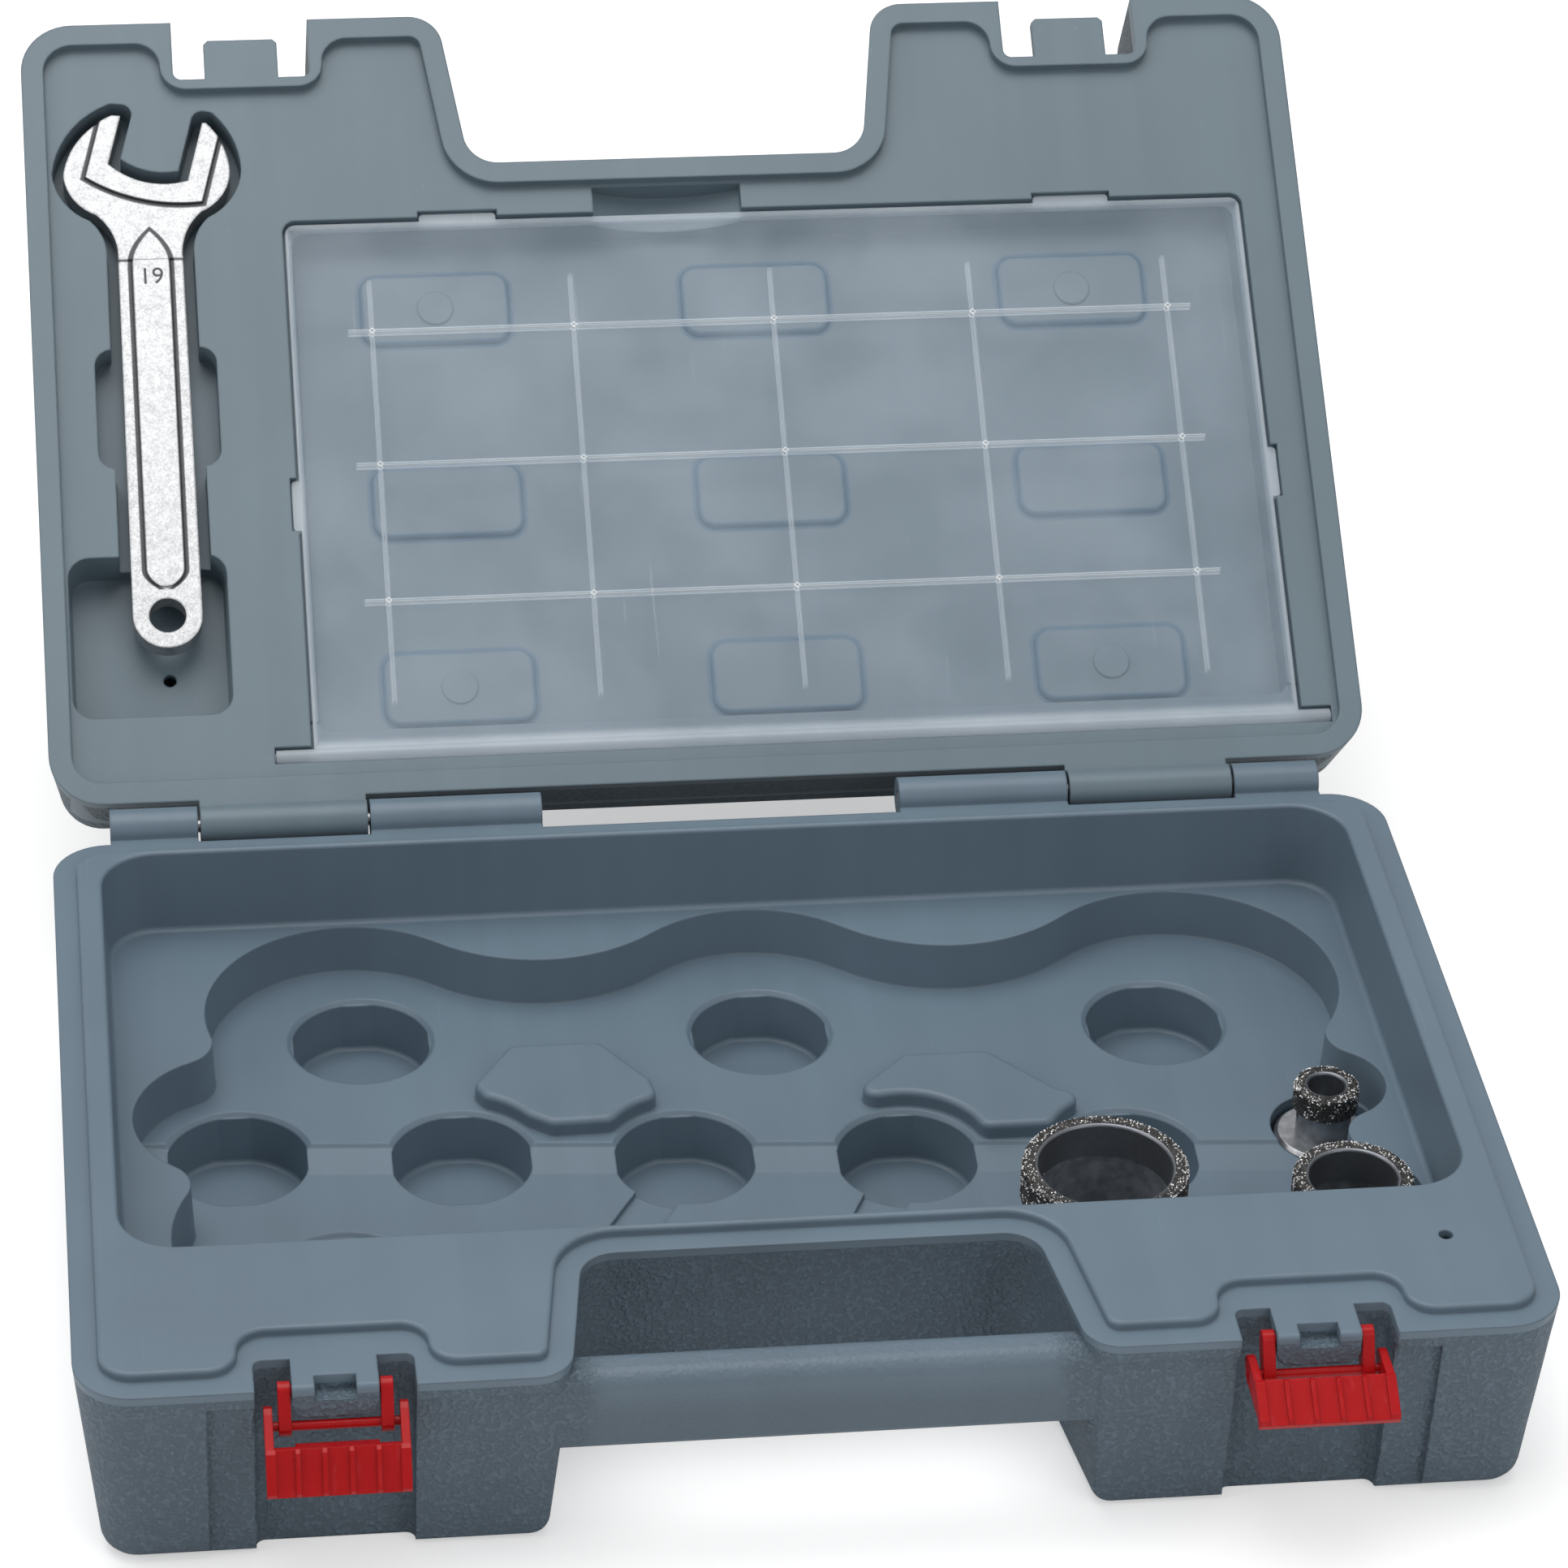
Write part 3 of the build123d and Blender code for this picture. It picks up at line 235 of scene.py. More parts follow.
def pad_edge_shade(x, y, z):
    """Painted shade along the rim edges of the low pads on the bin's floor: a rectangle's distance with
    rounded corners.
    """
    half_x, half_y = (half - PAD_CORNER for half in PAD_HALF)
    aside, along = nearest_of(x, PAD_X) - half_x * MM, nearest_of(y, PAD_Y) - half_y * MM
    beyond_x, beyond_y = aside.either(0.0), along.either(0.0)
    distance = (beyond_x * beyond_x + beyond_y * beyond_y).maths("SQRT") + aside.either(along).both(0.0)
    return (distance - PAD_CORNER * MM).size().ramp(0.4 * MM, 1.4 * MM, 1.0, 0.0) * z.below(-9.5 * MM)


def moulded_plastic(name, props, on_the_lid):
    """Slate polyethylene: satin on the decks and in the tray, pebble grain on the outside walls."""
    finish = Finish(name)
    place = finish.place(**TO_LID) if on_the_lid else finish.place()
    x, y, z = finish.axes(place)
    outside = shade = pebbled_part(x, y, z, on_the_lid)
    if not on_the_lid:
        grip = x.size().ramp(44.0 * MM, 50.0 * MM, 1.0, 0.0) * y.below(-84.0 * MM) * 0.75
        outside = outside * (1.0 - grip)
        shade = outside.either(grip * z.ramp(41.0 * MM, 31.0 * MM, 0.0, 3.2))

    grain = finish.noise(place, 1.0 / props.grain_size, 3.0, 0.55)
    pebbles = Wire(finish, finish.cells(place, 0.8 / props.grain_size, "SMOOTH_F1", 0.35).outputs[0])
    pebble_height = (grain.ramp(0.38, 0.62) * 0.6 + pebbles.ramp(0.1, 0.55, 1.0, 0.0) * 0.6) * outside
    flow = finish.noise(finish.place(stretch=(1.0, 0.16, 0.16)), 260.0, 3.0, 0.6)
    orange_peel = finish.noise(place, 900.0, 1.0)
    satin_height = (flow * 0.8 + orange_peel * 0.5) * (1.0 - outside)

    cloud = finish.noise(place, 11.0, 3.0, 0.6)
    streak = finish.noise(finish.place(stretch=(1.0, 0.05, 0.05)), 120.0, 2.0, 0.5)
    rubbed = finish.place((0.0, 0.0, 0.6), stretch=(1.0, 0.04, 1.0))
    scuff = finish.noise(rubbed, 420.0, 3.0, 0.7).ramp(0.66, 0.74)
    base_colour = props.lid_colour if on_the_lid else props.colour
    tone = cloud.ramp(0.3, 0.7) * 0.6 + streak.ramp(0.35, 0.65) * 0.2
    colour = finish.blend(tone, rgb(base_colour, 0.90), rgb(base_colour, 1.10))
    # Painted shade: the hollows of the pebble grain are darkened.
    crevice_shade = pebble_height.ramp(0.25, 0.95, 1.0, 0.0) * outside
    colour = finish.blend(shade * 0.15, colour, rgb(base_colour, 0.42))
    colour = finish.blend(crevice_shade * 0.36, colour, rgb(base_colour, 0.30))
    colour = finish.blend(scuff * 0.10 * (1.0 - outside), colour, rgb(base_colour, 1.8))
    if on_the_lid:
        # Painted shade: dark lines along the pads' rim edges, seen through the clear cover.
        line = pad_edge_shade(x, y, z) * (1.0 - outside)
        colour = finish.blend(line, colour, (0.05, 0.12, 0.19, 1.0))
    rough = outside * 0.13 + cloud * 0.10 + flow * 0.08 - scuff * 0.05 + props.gloss_roughness
    rounded = finish.soft_edge(props.edge_softness)
    normal = finish.bump(pebble_height, props.grain_depth, finish.bump(satin_height, 0.012 * MM, rounded))
    return finish.close(Base_Color=colour, Roughness=rough, Normal=normal, IOR=1.5)


def latch_plastic(props):
    """Red acetal, semi-gloss, a little paler where it is rubbed."""
    finish = Finish("red_latch_plastic")
    place = finish.place()
    cloud = finish.noise(place, 160.0, 3.0, 0.6)
    rub = finish.noise(finish.place(stretch=(1.0, 0.3, 0.08)), 900.0, 2.0, 0.6).ramp(0.58, 0.75)
    colour = finish.blend(cloud, rgb(props.latch_colour, 0.9), rgb(props.latch_colour, 1.1))
    colour = finish.blend(rub * 0.06, colour, (0.9, 0.2, 0.2, 1.0))
    normal = finish.bump(finish.noise(place, 1400.0, 2.0), 0.01 * MM, finish.soft_edge(0.35 * MM))
    return finish.close(Base_Color=colour, Roughness=cloud * 0.16 + rub * 0.1 + 0.22, Normal=normal, IOR=1.33)


def nearest_of(value, levels):
    """Distance to the nearest of several levels in millimetres."""
    nearest = None
    for level in levels:
        gap = (value - level * MM).size()
        nearest = gap if nearest is None else nearest.both(gap)
    return nearest


def score_line(distance):
    """A pressed line as painted highlights: two bright flanks with a fainter bottom between them."""
    return distance.ramp(0.45 * MM, 0.75 * MM, 1.0, 0.0) * distance.ramp(0.05 * MM, 0.30 * MM, 0.55, 1.0)


def clear_plastic(props):
    """Milky clear sheet, with painted highlights that make it whiter along its scored lines, its edges and
    its hinge rod.
    """
    finish = Finish("clear_cover_plastic")
    place = finish.place(**TO_LID)
    x, y, z = finish.axes(place)
    overrun = 5.5
    low_y, high_y = SCORES_Y[0] - 25.0, SCORES_Y[-1] + 13.0
    inside = x.above((SCORES_X[0] - overrun) * MM).both(x.below((SCORES_X[-1] + overrun) * MM))
    inside = inside.both(y.above(low_y * MM)).both(y.below(high_y * MM))
    crossing_x, crossing_y = nearest_of(x, SCORES_X), nearest_of(y, SCORES_Y)
    across = score_line(crossing_y) * inside * 0.6
    upright = score_line(crossing_x) * inside * 0.36
    dot = (crossing_x * crossing_x + crossing_y * crossing_y).maths("SQRT")
    lines = across.either(upright).either(dot.ramp(0.6 * MM, 1.0 * MM, 1.0, 0.0))
    lines = lines * dot.ramp(0.15 * MM, 0.45 * MM)
    edge = (x - COVER_X * MM).size().ramp((COVER_HALF - 1.4) * MM, COVER_HALF * MM)
    edge = edge.either(y.ramp((COVER_HIGH - 1.6) * MM, COVER_HIGH * MM))
    edge = edge.either(y.ramp((COVER_LOW + 2.5) * MM, COVER_LOW * MM))
    haze = finish.noise(place, 24.0, 3.0, 0.6)
    drag = finish.noise(finish.place((0.3, 0.4, 0.5), stretch=(1.0, 0.03, 0.03)), 700.0, 2.0, 0.6)
    scratch = drag.ramp(0.70, 0.76)
    # Painted highlights on the scored lines and edges, together with the real scratches and milky haze.
    white = lines * 0.85 + edge * 0.38 + scratch * 0.10 + haze.ramp(0.3, 0.7) * 0.12
    colour = finish.blend(white.both(1.0), rgb(props.cover_colour), (0.93, 0.95, 0.96, 1.0))
    alpha = (white * 0.62 + props.cover_haze).both(1.0)
    normal = finish.bump(haze * 0.6 + lines, 0.06 * MM, finish.soft_edge(0.4 * MM))
    return finish.close(
        Base_Color=colour, Roughness=haze * 0.12 + lines * 0.2 + 0.12, Alpha=alpha, Normal=normal, IOR=1.49
    )


def forged_chrome():
    """Satin chrome over a forging: fine pits, and shadowed lines at the foot of its raised fields."""
    finish = Finish("satin_chrome")
    place = finish.place(**TO_LID)
    x, y, z = finish.axes(place)
    panel_half, panel_low, panel_high, arch_from = 4.5, 53.4, 145.0, 135.0
    across = (x - SPANNER_X * MM).size()
    arch = (y - arch_from * MM).either(0.0) * (1.0 / (9.0 * MM))
    tail = (58.5 * MM - y).either(0.0) * (1.0 / (4.5 * MM))
    width = (1.0 - arch * arch) * (panel_half * MM) - tail * tail * (3.0 * MM)
    foot = (across - width - 0.3 * MM).size().ramp(0.4 * MM, 0.9 * MM, 1.0, 0.0)
    foot = foot * y.above(panel_low * MM).both(y.below(panel_high * MM)) * across.below(5.5 * MM)
    aside, up = x - SPANNER_X * MM, y - SPANNER_HEAD * MM
    jaw_aside = (aside * math.cos(JAW_TURN) - up * math.sin(JAW_TURN)).size()
    jaw_up = aside * math.sin(JAW_TURN) + up * math.cos(JAW_TURN) - 33.5 * MM
    floor_ring = (jaw_aside * jaw_aside + jaw_up * jaw_up).maths("SQRT") - 39.8 * MM
    prong, floor_side = jaw_aside - 14.4 * MM, -20.0 * MM
    beside = prong.either(floor_ring * jaw_up.below(floor_side) - jaw_up.above(floor_side) * 9.0)
    band = beside.size().ramp(0.4 * MM, 0.85 * MM, 1.0, 0.0) * y.above(panel_high * MM)
    shadow = foot.either(band)

    pits = finish.noise(place, 1900.0, 3.0, 0.65)
    waves = finish.noise(place, 420.0, 3.0, 0.6)
    drag = finish.noise(finish.place(TO_LID["turn"], stretch=(1.0, 0.05, 1.0)), 1500.0, 3.0, 0.6)
    nick = Wire(finish, finish.cells(place, 170.0).outputs[0]).ramp(0.05, 0.11, 1.0, 0.0)
    tone = waves.ramp(0.3, 0.7) * 0.4 + pits.ramp(0.36, 0.62) * 0.6
    colour = finish.blend(tone, (0.33, 0.335, 0.345, 1.0), (0.61, 0.615, 0.62, 1.0))
    colour = finish.blend(shadow * 0.9, colour, (0.02, 0.022, 0.026, 1.0))
    rough = pits * 0.16 + drag * 0.12 + waves * 0.08 + 0.26
    height = pits * 0.5 + drag * 0.25 + waves - nick * 0.5
    normal = finish.bump(height, 0.03 * MM, finish.soft_edge(0.7 * MM))
    return finish.close(Base_Color=colour, Roughness=rough, Metallic=0.9, Normal=normal)


def turned_steel(name, centres, colour, rough, metal):
    """Lathe-turned steel: fine rings by height and by distance from the piece's own axis."""
    finish = Finish(name)
    place = finish.place()
    x, y, z = finish.axes(place)
    nearest = None
    for centre_x, centre_y in centres:
        across, along = x - centre_x, y - centre_y
        square = across * across + along * along
        nearest = square if nearest is None else nearest.both(square)
    radius = nearest.maths("SQRT")
    ring_pitch = 0.45 * MM
    rings = ((radius + z) * (2 * math.pi / ring_pitch)).maths("SINE")
    oxide = finish.noise(place, 260.0, 4.0, 0.6)
    speck = finish.noise(place, 1600.0, 2.0, 0.6)
    shade = finish.blend(oxide.ramp(0.3, 0.7), rgb(colour, 0.75), rgb(colour, 1.3))
    height = rings * 0.5 + speck
    return finish.close(
        Base_Color=shade, Roughness=oxide * 0.18 + rough, Metallic=metal,
        Normal=finish.bump(height, 0.012 * MM, finish.soft_edge(0.25 * MM)),
    )


def drawn_wire():
    """Plain steel wire of the hinge pins."""
    finish = Finish("drawn_wire_steel")
    along = finish.noise(finish.place(stretch=(0.05, 1.0, 1.0)), 1800.0, 3.0, 0.6)
    colour = finish.blend(along, (0.36, 0.36, 0.37, 1.0), (0.62, 0.62, 0.63, 1.0))
    return finish.close(
        Base_Color=colour, Roughness=along * 0.2 + 0.25, Metallic=1.0, Normal=finish.bump(along, 0.01 * MM)
    )


def grit_matrix(name, centre, bore):
    """Sintered bond between the diamonds, dark and rough; its bore is ground smooth."""
    finish = Finish(name)
    place = finish.place()
    x, y, z = finish.axes(place)
    across, along = x - centre[0], y - centre[1]
    smooth = (across * across + along * along).maths("SQRT").below(bore + 0.15 * MM)
    lump = finish.noise(place, 1100.0, 4.0, 0.7)
    cell = Wire(finish, finish.cells(place, 1300.0).outputs[0])
    colour = finish.blend(lump.ramp(0.35, 0.7), (0.017, 0.016, 0.016, 1.0), (0.085, 0.081, 0.078, 1.0))
    ground = finish.blend(lump, (0.17, 0.18, 0.20, 1.0), (0.26, 0.275, 0.30, 1.0))
    colour = finish.blend(smooth, colour, ground)
    normal = finish.bump((lump - cell * 0.6) * (1.0 - smooth), 0.22 * MM)
    rough = lump * 0.3 + 0.35 - smooth * 0.12
    return finish.close(Base_Color=colour, Roughness=rough, Metallic=smooth * 0.5 + 0.35, Normal=normal)


def diamond_grains(name, top):
    """The grains themselves: most dark, some painted bright as glints, most of them bright on the worn rim.
    """
    finish = Finish(name)
    place = finish.place()
    rim = finish.axes(place)[2].ramp(top - 1.6 * MM, top - 0.3 * MM)
    pick = finish.cells(place, 900.0)
    split = finish.node("ShaderNodeSeparateColor", None, {0: pick.outputs["Color"]})
    chance = Wire(finish, split.outputs[0])
    # Painted glints: some grains near-white, more of them on the rim.
    bright = (chance + rim * 0.56).ramp(0.78, 0.92)
    colour = finish.blend(chance, (0.024, 0.022, 0.021, 1.0), (0.12, 0.113, 0.107, 1.0))
    colour = finish.blend(bright, colour, (0.90, 0.885, 0.87, 1.0))
    return finish.close(Base_Color=colour, Roughness=0.45 - bright * 0.25, Metallic=bright * 0.3 + 0.2)


def figure_shade_fill():
    """Painted shade: the dark fill of a stamped figure, standing in for the shadow in its strokes."""
    finish = Finish("stamped_figure_shade")
    place = finish.place()
    fill_mottle = finish.noise(place, 900.0, 3.0, 0.6)
    colour = finish.blend(fill_mottle, (0.05, 0.05, 0.055, 1.0), (0.16, 0.16, 0.17, 1.0))
    return finish.close(
        Base_Color=colour, Roughness=fill_mottle * 0.2 + 0.5, Metallic=0.6, Normal=finish.bump(fill_mottle, 0.02 * MM)
    )


# ---------------------------------------------------------------- helpers for pieces
def coat(node_name, material):
    """Gives a carried-over piece its finish."""
    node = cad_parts[node_name]
    if not node.material_slots:
        node.data.materials.append(material)
    for holder in node.material_slots:
        holder.material = material


def plain_mesh(source, name, material):
    """The evaluated shape of an object as a plain piece at the origin; the source is removed."""
    view = bpy.context.evaluated_depsgraph_get()
    mesh = bpy.data.meshes.new_from_object(source.evaluated_get(view))
    mesh.transform(source.matrix_world)
    mesh.name = name
    bpy.data.objects.remove(source)
    piece = bpy.data.objects.new(name, mesh)
    bpy.context.scene.collection.objects.link(piece)
    mesh.materials.clear()
    mesh.materials.append(material)
    return piece


def settle(piece, body):
    """Ties a new piece to a body."""
    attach(piece, body)


def welded_copy(node_name, name):
    """A copy of a carried-over piece whose loose triangles are joined up."""
    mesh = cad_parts[node_name].data.copy()
    joined = bmesh.new()
    joined.from_mesh(mesh)
    bmesh.ops.remove_doubles(joined, verts=joined.verts, dist=1e-6)
    joined.to_mesh(mesh)
    joined.free()
    copy = bpy.data.objects.new(name, mesh)
    bpy.context.scene.collection.objects.link(copy)
    return copy


# ---------------------------------------------------------------- diamond grains by geometry nodes
def grain_tree(material):
    """Scatters small crystals over the faces of a segment and returns them as one mesh."""
    tree = bpy.data.node_groups.new("scatter_grains", "GeometryNodeTree")
    sockets = tree.interface
    inputs = (
        ("Geometry", "Geometry"), ("Grains per m2", "Float"), ("Grain radius", "Float"), ("Seed", "Int"),
        ("Axis", "Vector"), ("Bore", "Float"),
    )
    for name, kind in inputs:
        sockets.new_socket(name, in_out="INPUT", socket_type="NodeSocket" + kind)
    sockets.new_socket("Geometry", in_out="OUTPUT", socket_type="NodeSocketGeometry")

    def add(kind, **settings):
        made = tree.nodes.new(kind)
        for name, value in settings.items():
            setattr(made, name, value)
        return made

    into, out = add("NodeGroupInput"), add("NodeGroupOutput")
    points = add("GeometryNodeDistributePointsOnFaces", distribute_method="RANDOM")
    where = add("GeometryNodeInputPosition")
    away = add("ShaderNodeVectorMath", operation="SUBTRACT")
    flat = add("ShaderNodeVectorMath", operation="MULTIPLY")
    flat.inputs[1].default_value = (1.0, 1.0, 0.0)
    reach = add("ShaderNodeVectorMath", operation="LENGTH")
    outer = add("FunctionNodeCompare", data_type="FLOAT", operation="GREATER_THAN")
    crystal = add("GeometryNodeMeshIcoSphere")
    crystal.inputs["Subdivisions"].default_value = 1
    size = add("FunctionNodeRandomValue", data_type="FLOAT")
    size.inputs[2].default_value, size.inputs[3].default_value = 0.55, 1.25
    turn = add("FunctionNodeRandomValue", data_type="FLOAT_VECTOR")
    turn.inputs[1].default_value = (FULL_TURN,) * 3
    placed = add("GeometryNodeInstanceOnPoints")
    real = add("GeometryNodeRealizeInstances")
    faced = add("GeometryNodeSetMaterial")
    faced.inputs["Material"].default_value = material
    links = (
        (into, 0, points, "Mesh"), (into, 1, points, "Density"), (into, 3, points, "Seed"),
        (where, 0, away, 0), (into, 4, away, 1), (away, 0, flat, 0), (flat, 0, reach, 0),
        (reach, 1, outer, 0), (into, 5, outer, 1), (outer, 0, points, "Selection"),
        (into, 2, crystal, "Radius"), (into, 3, size, "Seed"), (into, 3, turn, "Seed"),
        (points, 0, placed, "Points"), (crystal, 0, placed, "Instance"), (turn, 0, placed, "Rotation"),
        (size, 1, placed, "Scale"), (placed, 0, real, 0), (real, 0, faced, "Geometry"),
        (faced, 0, out, 0),
    )
    for source, output, target, entry in links:
        tree.links.new(source.outputs[output], target.inputs[entry])
    return tree


def grains_on(size, material, props, seed, centre, bore):
    """Diamond grains over one cutter's segment, outside its bore."""
    name = f"{size}_cutter_grains"
    tree = grain_tree(material)
    host = welded_copy(f"{size}_cutter_grit", name + "_host")
    scatter = host.modifiers.new("scatter", "NODES")
    scatter.node_group = tree
    entries = {item.name: item.identifier for item in tree.interface.items_tree if item.in_out == "INPUT"}
    scatter[entries["Grains per m2"]] = props.grain_density * 1e6
    scatter[entries["Grain radius"]] = props.grain_radius
    scatter[entries["Seed"]] = seed
    scatter[entries["Axis"]] = (centre[0], centre[1], 0.0)
    scatter[entries["Bore"]] = bore + 0.5 * MM
    piece = plain_mesh(host, name, material)
    settle(piece, f"{size}_cutter")


# ---------------------------------------------------------------- settings
class ShellSettings(PropertyGroup):
    """Moulded halves of the case."""

    colour: FloatVectorProperty(
        name="Plastic", description="Colour of the case", subtype="COLOR", default=(0.136, 0.192, 0.243)
    )
    lid_colour: FloatVectorProperty(
        name="Lid plastic", description="Colour of the lid", subtype="COLOR", default=(0.136, 0.187, 0.222)
    )
    grain_size: FloatProperty(
        name="Grain size", description="Width of one pebble of the grain", unit="LENGTH", default=1.15 * MM
    )
    grain_depth: FloatProperty(
        name="Grain depth", description="Depth of the grain", unit="LENGTH", default=0.34 * MM
    )
    gloss_roughness: FloatProperty(
        name="Satin roughness", description="Roughness of the smooth decks", default=0.33
    )
    edge_softness: FloatProperty(
        name="Edge radius", description="Radius at which edges catch light", unit="LENGTH", default=0.7 * MM
    )


class FittingSettings(PropertyGroup):
    """Latches, hinge pins and the clear cover."""

    latch_colour: FloatVectorProperty(
        name="Latch", description="Colour of the latches", subtype="COLOR", default=(0.44, 0.004, 0.006)
    )
    cover_colour: FloatVectorProperty(
        name="Cover", description="Tint of the clear cover", subtype="COLOR", default=(0.48, 0.60, 0.72)
    )
    cover_haze: FloatProperty(
        name="Cover haze", description="How much the cover hides", default=0.11
    )


class ToolSettings(PropertyGroup):
    """Spanner and hole cutters."""

    figure_height: FloatProperty(
        name="Figure height", description="Height of the size mark", unit="LENGTH", default=4.2 * MM
    )
    grain_density: FloatProperty(
        name="Grains per mm2", description="Diamond grains on a square millimetre", default=3.2
    )
    grain_radius: FloatProperty(
        name="Grain radius", description="Radius of one grain", unit="LENGTH", default=0.22 * MM
    )
    seed: IntProperty(name="Seed", description="Start of the random scatter", default=7)


class StageSettings(PropertyGroup):
    """Floor, lamps and camera."""

    floor_colour: FloatVectorProperty(
        name="Floor", description="Colour of the floor", subtype="COLOR", default=(0.86, 0.86, 0.86)
    )
    lamp_level: FloatProperty(name="Lamp level", description="Strength of the lamps", default=1.0)
    sky_level: FloatProperty(name="Sky level", description="Strength of the even light", default=0.42)


# ---------------------------------------------------------------- operators
class CASE_OT_shells(Operator):
    """Finish the two moulded halves of the case"""

    bl_idname = "cutter_case.shells"
    bl_label = "Moulded halves"

    def execute(self, context):
        props = context.scene.case_shells
        coat("base_shell", moulded_plastic("base_plastic", props, False))
        coat("lid_shell", moulded_plastic("lid_plastic", props, True))
        return {"FINISHED"}


class CASE_OT_pins(Operator):
    """Finish the hinge pins"""

    bl_idname = "cutter_case.pins"
    bl_label = "Hinge pins"

    def execute(self, context):
        wire = drawn_wire()
        for name in ("hinge_pin_left", "hinge_pin_right"):
            coat(name, wire)
        return {"FINISHED"}


class CASE_OT_latches(Operator):
    """Finish the latch links and levers"""

    bl_idname = "cutter_case.latches"
    bl_label = "Latches"

    def execute(self, context):
        red = latch_plastic(context.scene.case_fittings)
        for side in ("left", "right"):
            coat(f"latch_link_{side}", red)
            coat(f"latch_lever_{side}", red)
        return {"FINISHED"}


class CASE_OT_cover(Operator):
    """Finish the clear cover of the bin"""

    bl_idname = "cutter_case.cover"
    bl_label = "Clear cover"

    def execute(self, context):
        coat("bin_cover", clear_plastic(context.scene.case_fittings))
        return {"FINISHED"}


class CASE_OT_spanner(Operator):
    """Finish the spanner and stamp its size"""

    bl_idname = "cutter_case.spanner"
    bl_label = "Spanner"

    def execute(self, context):
        props = context.scene.case_tools
        figure_share = 0.72         # height of a figure in its font's size
        coat("spanner", forged_chrome())
        words = bpy.data.curves.new("size_figure", "FONT")
        words.body = "19"
        words.size = props.figure_height / figure_share
        words.extrude = 0.06 * MM
        words.align_x = words.align_y = "CENTER"
        holder = bpy.data.objects.new("size_figure", words)
        context.scene.collection.objects.link(holder)
        middle = on_lid(SPANNER_X * MM, FIGURE_Y * MM, FIGURE_DEPTH * MM)
        holder.matrix_world = Matrix(
            ((1, LID_UP.x, LID_FACE.x, middle.x), (0, LID_UP.y, LID_FACE.y, middle.y),
             (0, LID_UP.z, LID_FACE.z, middle.z), (0, 0, 0, 1))
        )
        context.view_layer.update()
        # The size mark is painted shade: a dark figure laid on the spanner's face.
        settle(plain_mesh(holder, "size_figure", figure_shade_fill()), "spanner")
        return {"FINISHED"}


class CASE_OT_cutters(Operator):
    """Finish the hole cutters and cover their segments with grains"""

    bl_idname = "cutter_case.cutters"
    bl_label = "Hole cutters"

    def execute(self, context):
        props = context.scene.case_tools
        segment_wall = {"large": 2.9, "medium": 2.9, "small": 2.5}
        centres = []
        for size in CUTTERS:
            low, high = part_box(f"{size}_cutter_hub")
            centres.append(((low.x + high.x) / 2, (low.y + high.y) / 2))
        hub = turned_steel("bright_turned_steel", centres, (0.50, 0.51, 0.53), 0.22, 0.9)
        cup = turned_steel("dark_turned_steel", centres, (0.24, 0.26, 0.285), 0.34, 0.45)
        for step, size in enumerate(CUTTERS):
            low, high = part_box(f"{size}_cutter_grit")
            bore = (high.x - low.x) / 2 - segment_wall[size] * MM
            diamond = diamond_grains(f"{size}_diamond_grains", high.z)
            coat(f"{size}_cutter_hub", hub)
            coat(f"{size}_cutter_grit", grit_matrix(f"{size}_grit_bond", centres[step], bore))
            coat(f"{size}_cutter_{'shank' if size == 'small' else 'cup'}", cup)
            grains_on(size, diamond, props, props.seed + step, centres[step], bore)
        return {"FINISHED"}


class CASE_OT_stage(Operator):
    """Set out the floor, the lamps and the camera"""

    bl_idname = "cutter_case.stage"
    bl_label = "Stage"

    def execute(self, context):
        props = context.scene.case_stage
        lay_floor(props)
        hang_lamps(props)
        light_sky(props)
        stand_camera(context)
        return {"FINISHED"}


# ---------------------------------------------------------------- stage
def lay_floor(props):
    """A pale floor just under the case, with a glow that only the camera sees."""
    half, below, glow_level = 3.0, -0.2 * MM, 0.42
    mesh = bpy.data.meshes.new("studio_floor")
    corners = [(-half, -half, below), (half, -half, below), (half, half, below), (-half, half, below)]
    mesh.from_pydata(corners, [], [(0, 1, 2, 3)])
    floor = bpy.data.objects.new("studio_floor", mesh)
    bpy.context.scene.collection.objects.link(floor)
    finish = Finish("studio_floor_paint")
    seen = Wire(finish, finish.node("ShaderNodeLightPath").outputs["Is Camera Ray"])
    grey = finish.node("ShaderNodeBsdfDiffuse", None, {"Color": rgb(props.floor_colour)})
    glow = finish.node("ShaderNodeEmission", None, {"Color": (1, 1, 1, 1), "Strength": seen * glow_level})
    both = finish.node("ShaderNodeAddShader")
    finish.tree.links.new(grey.outputs[0], both.inputs[0])
    finish.tree.links.new(glow.outputs[0], both.inputs[1])
    out = finish.node("ShaderNodeOutputMaterial")
    finish.tree.links.new(both.outputs[0], out.inputs[0])
    mesh.materials.append(finish.material)


def hang_lamps(props):
    """Large soft lamps: name, place, size and strength in watts."""
    lamps = (
        ("top_lamp", (-0.15, 0.25, 1.55), 1.3, 15.0),
        ("front_lamp", (0.9, -1.3, 1.0), 0.9, 4.5),
        ("side_lamp", (-1.3, -0.2, 0.8), 0.8, 3.0),
    )
    aim = Vector((0.0, 0.08, 0.04))
    for name, place, size, power in lamps:
        lamp = bpy.data.lights.new(name, "AREA")
        lamp.shape = "SQUARE"
        lamp.size = size
        lamp.energy = power * props.lamp_level
        holder = bpy.data.objects.new(name, lamp)
        holder.location = place
        holder.rotation_euler = (aim - Vector(place)).to_track_quat("-Z", "Y").to_euler()
        bpy.context.scene.collection.objects.link(holder)


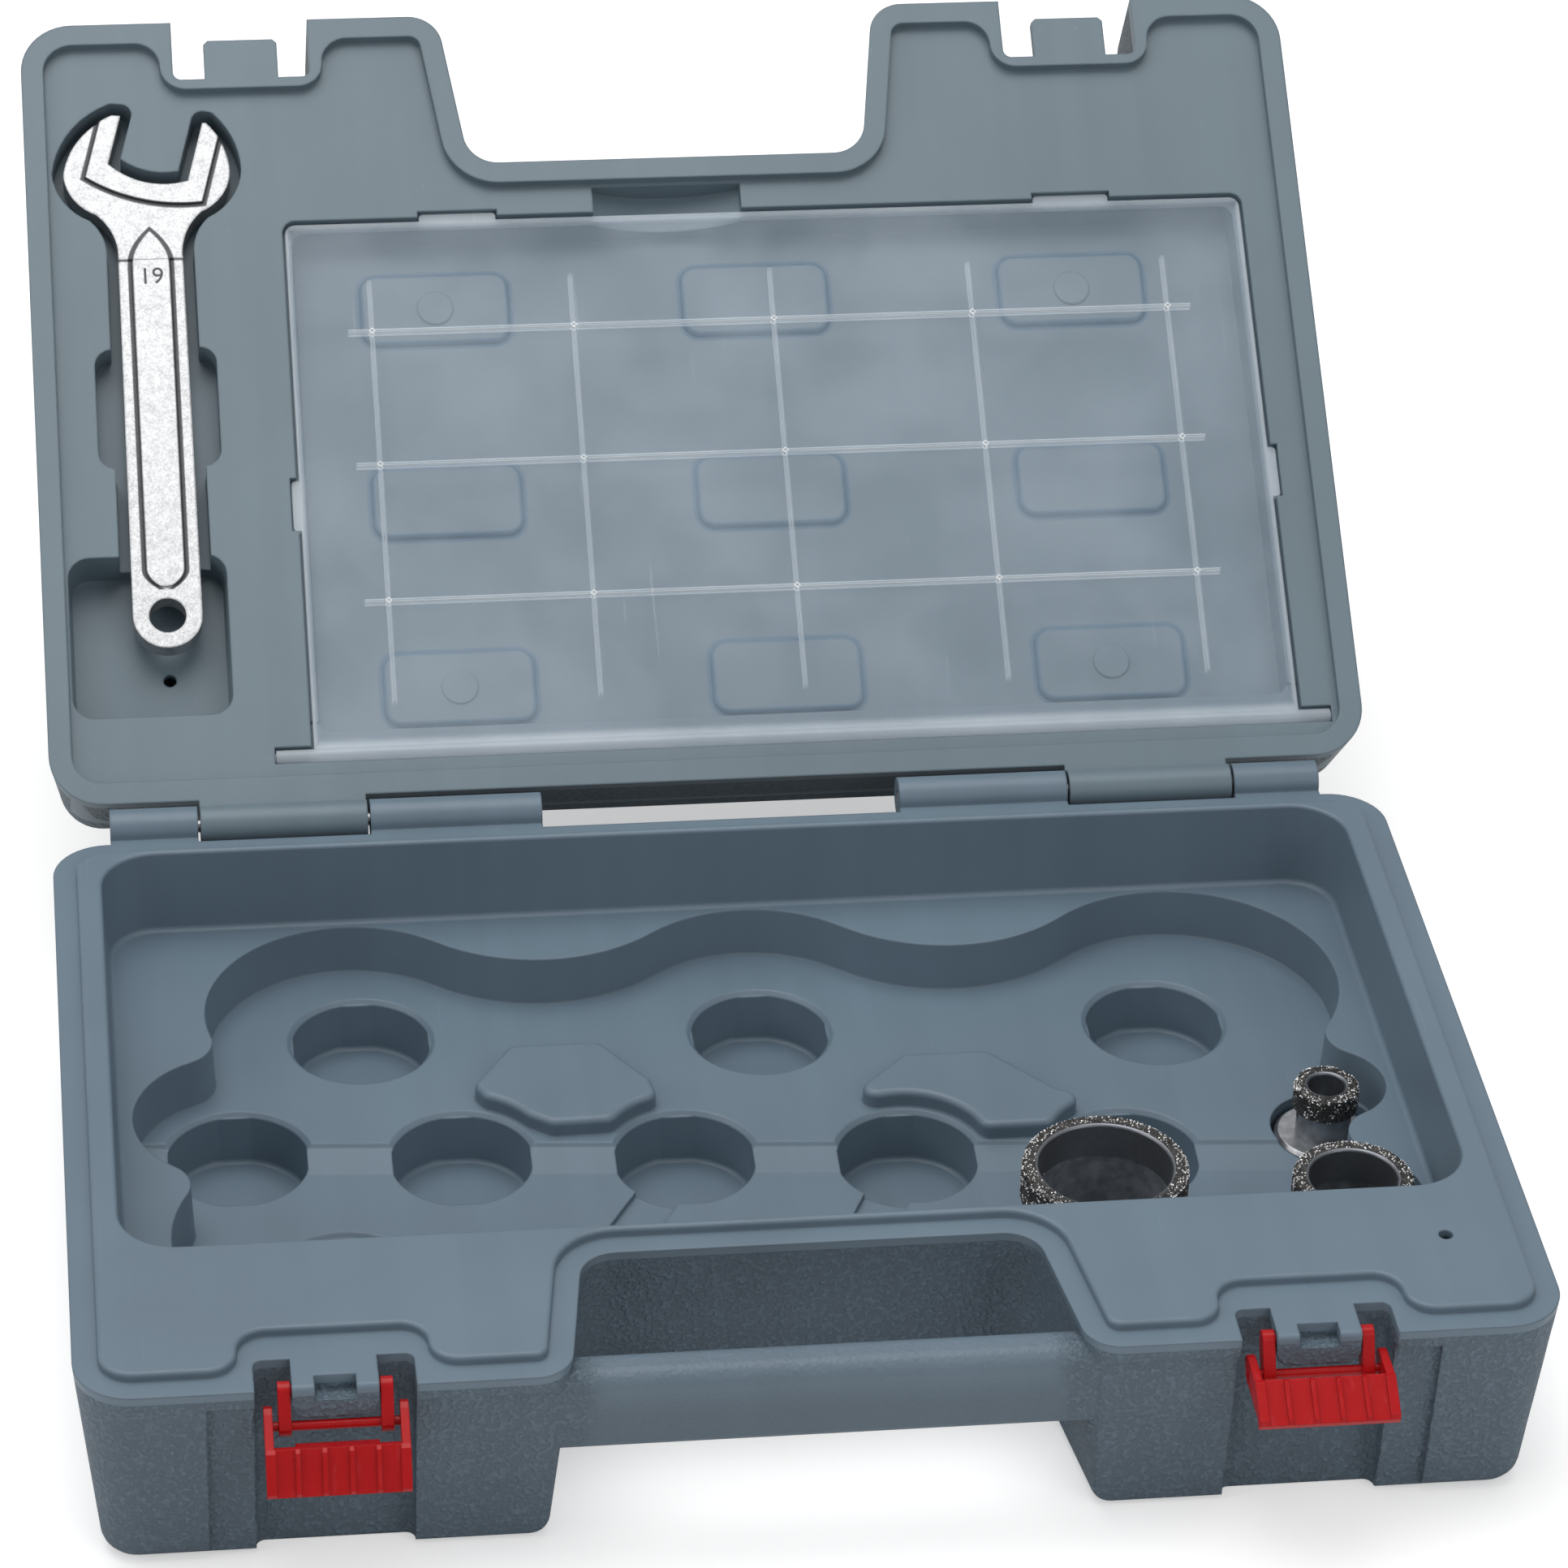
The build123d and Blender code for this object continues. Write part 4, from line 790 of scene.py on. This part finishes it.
def light_sky(props):
    """Even white light; the camera sees it at full strength."""
    world = bpy.data.worlds.new("studio_sky")
    world.use_nodes = True
    tree = world.node_tree
    sky = tree.nodes["Background"]
    sky.inputs["Color"].default_value = (1.0, 1.0, 1.0, 1.0)
    path = tree.nodes.new("ShaderNodeLightPath")
    level = tree.nodes.new("ShaderNodeMapRange")
    level.inputs["To Min"].default_value = props.sky_level
    level.inputs["To Max"].default_value = 1.0
    tree.links.new(path.outputs["Is Camera Ray"], level.inputs["Value"])
    tree.links.new(level.outputs[0], sky.inputs["Strength"])
    bpy.context.scene.world = world
    bpy.context.scene.view_settings.view_transform = "Standard"


def stand_camera(context):
    """The view from the front, above and a little to one side, with a long lens."""
    target = Vector((0.0, 0.098, 0.046))
    right = Vector((0.99224, -0.12070, 0.02988))
    down = Vector((-0.04105, -0.54483, -0.83754))
    ahead = right.cross(down)
    offset = (-0.01385, 0.00794, 1.36782)       # target to camera, along right, down and ahead
    focal_length, picture_width = 7485.0, 1932.0        # in dots
    place = target - right * offset[0] - down * offset[1] - ahead * offset[2]
    lens = bpy.data.cameras.new("case_lens")
    lens.sensor_width = 36.0
    lens.lens = focal_length / picture_width * lens.sensor_width
    lens.clip_start = 0.05
    lens.clip_end = 20.0
    holder = bpy.data.objects.new("case_camera", lens)
    turn = Matrix((right, -down, -ahead)).transposed().to_4x4()
    holder.matrix_world = Matrix.Translation(place) @ turn
    context.scene.collection.objects.link(holder)
    context.scene.camera = holder


# ---------------------------------------------------------------- panel
OPERATORS = (
    CASE_OT_shells, CASE_OT_pins, CASE_OT_latches, CASE_OT_cover, CASE_OT_spanner, CASE_OT_cutters,
    CASE_OT_stage,
)
SETTINGS = (
    ("case_shells", ShellSettings), ("case_fittings", FittingSettings), ("case_tools", ToolSettings),
    ("case_stage", StageSettings),
)


class CASE_PT_sidebar(Panel):
    """Settings and steps of the case"""

    bl_idname = "CASE_PT_sidebar"
    bl_label = "Cutter case"
    bl_space_type = "VIEW_3D"
    bl_region_type = "UI"
    bl_category = "Cutter case"

    def draw(self, context):
        for holder, group in SETTINGS:
            box = self.layout.box()
            for name in group.__annotations__:
                box.prop(getattr(context.scene, holder), name)
        for step in OPERATORS:
            self.layout.operator(step.bl_idname)


def register():
    for holder, group in SETTINGS:
        bpy.utils.register_class(group)
        setattr(bpy.types.Scene, holder, PointerProperty(type=group))
    for kind in (*OPERATORS, CASE_PT_sidebar):
        bpy.utils.register_class(kind)


def unregister():
    for kind in (CASE_PT_sidebar, *reversed(OPERATORS)):
        bpy.utils.unregister_class(kind)
    for holder, group in reversed(SETTINGS):
        delattr(bpy.types.Scene, holder)
        bpy.utils.unregister_class(group)


def main():
    register()
    for step in OPERATORS:
        group, action = step.bl_idname.split(".")
        getattr(getattr(bpy.ops, group), action)()


if __name__ == "__main__":
    main()
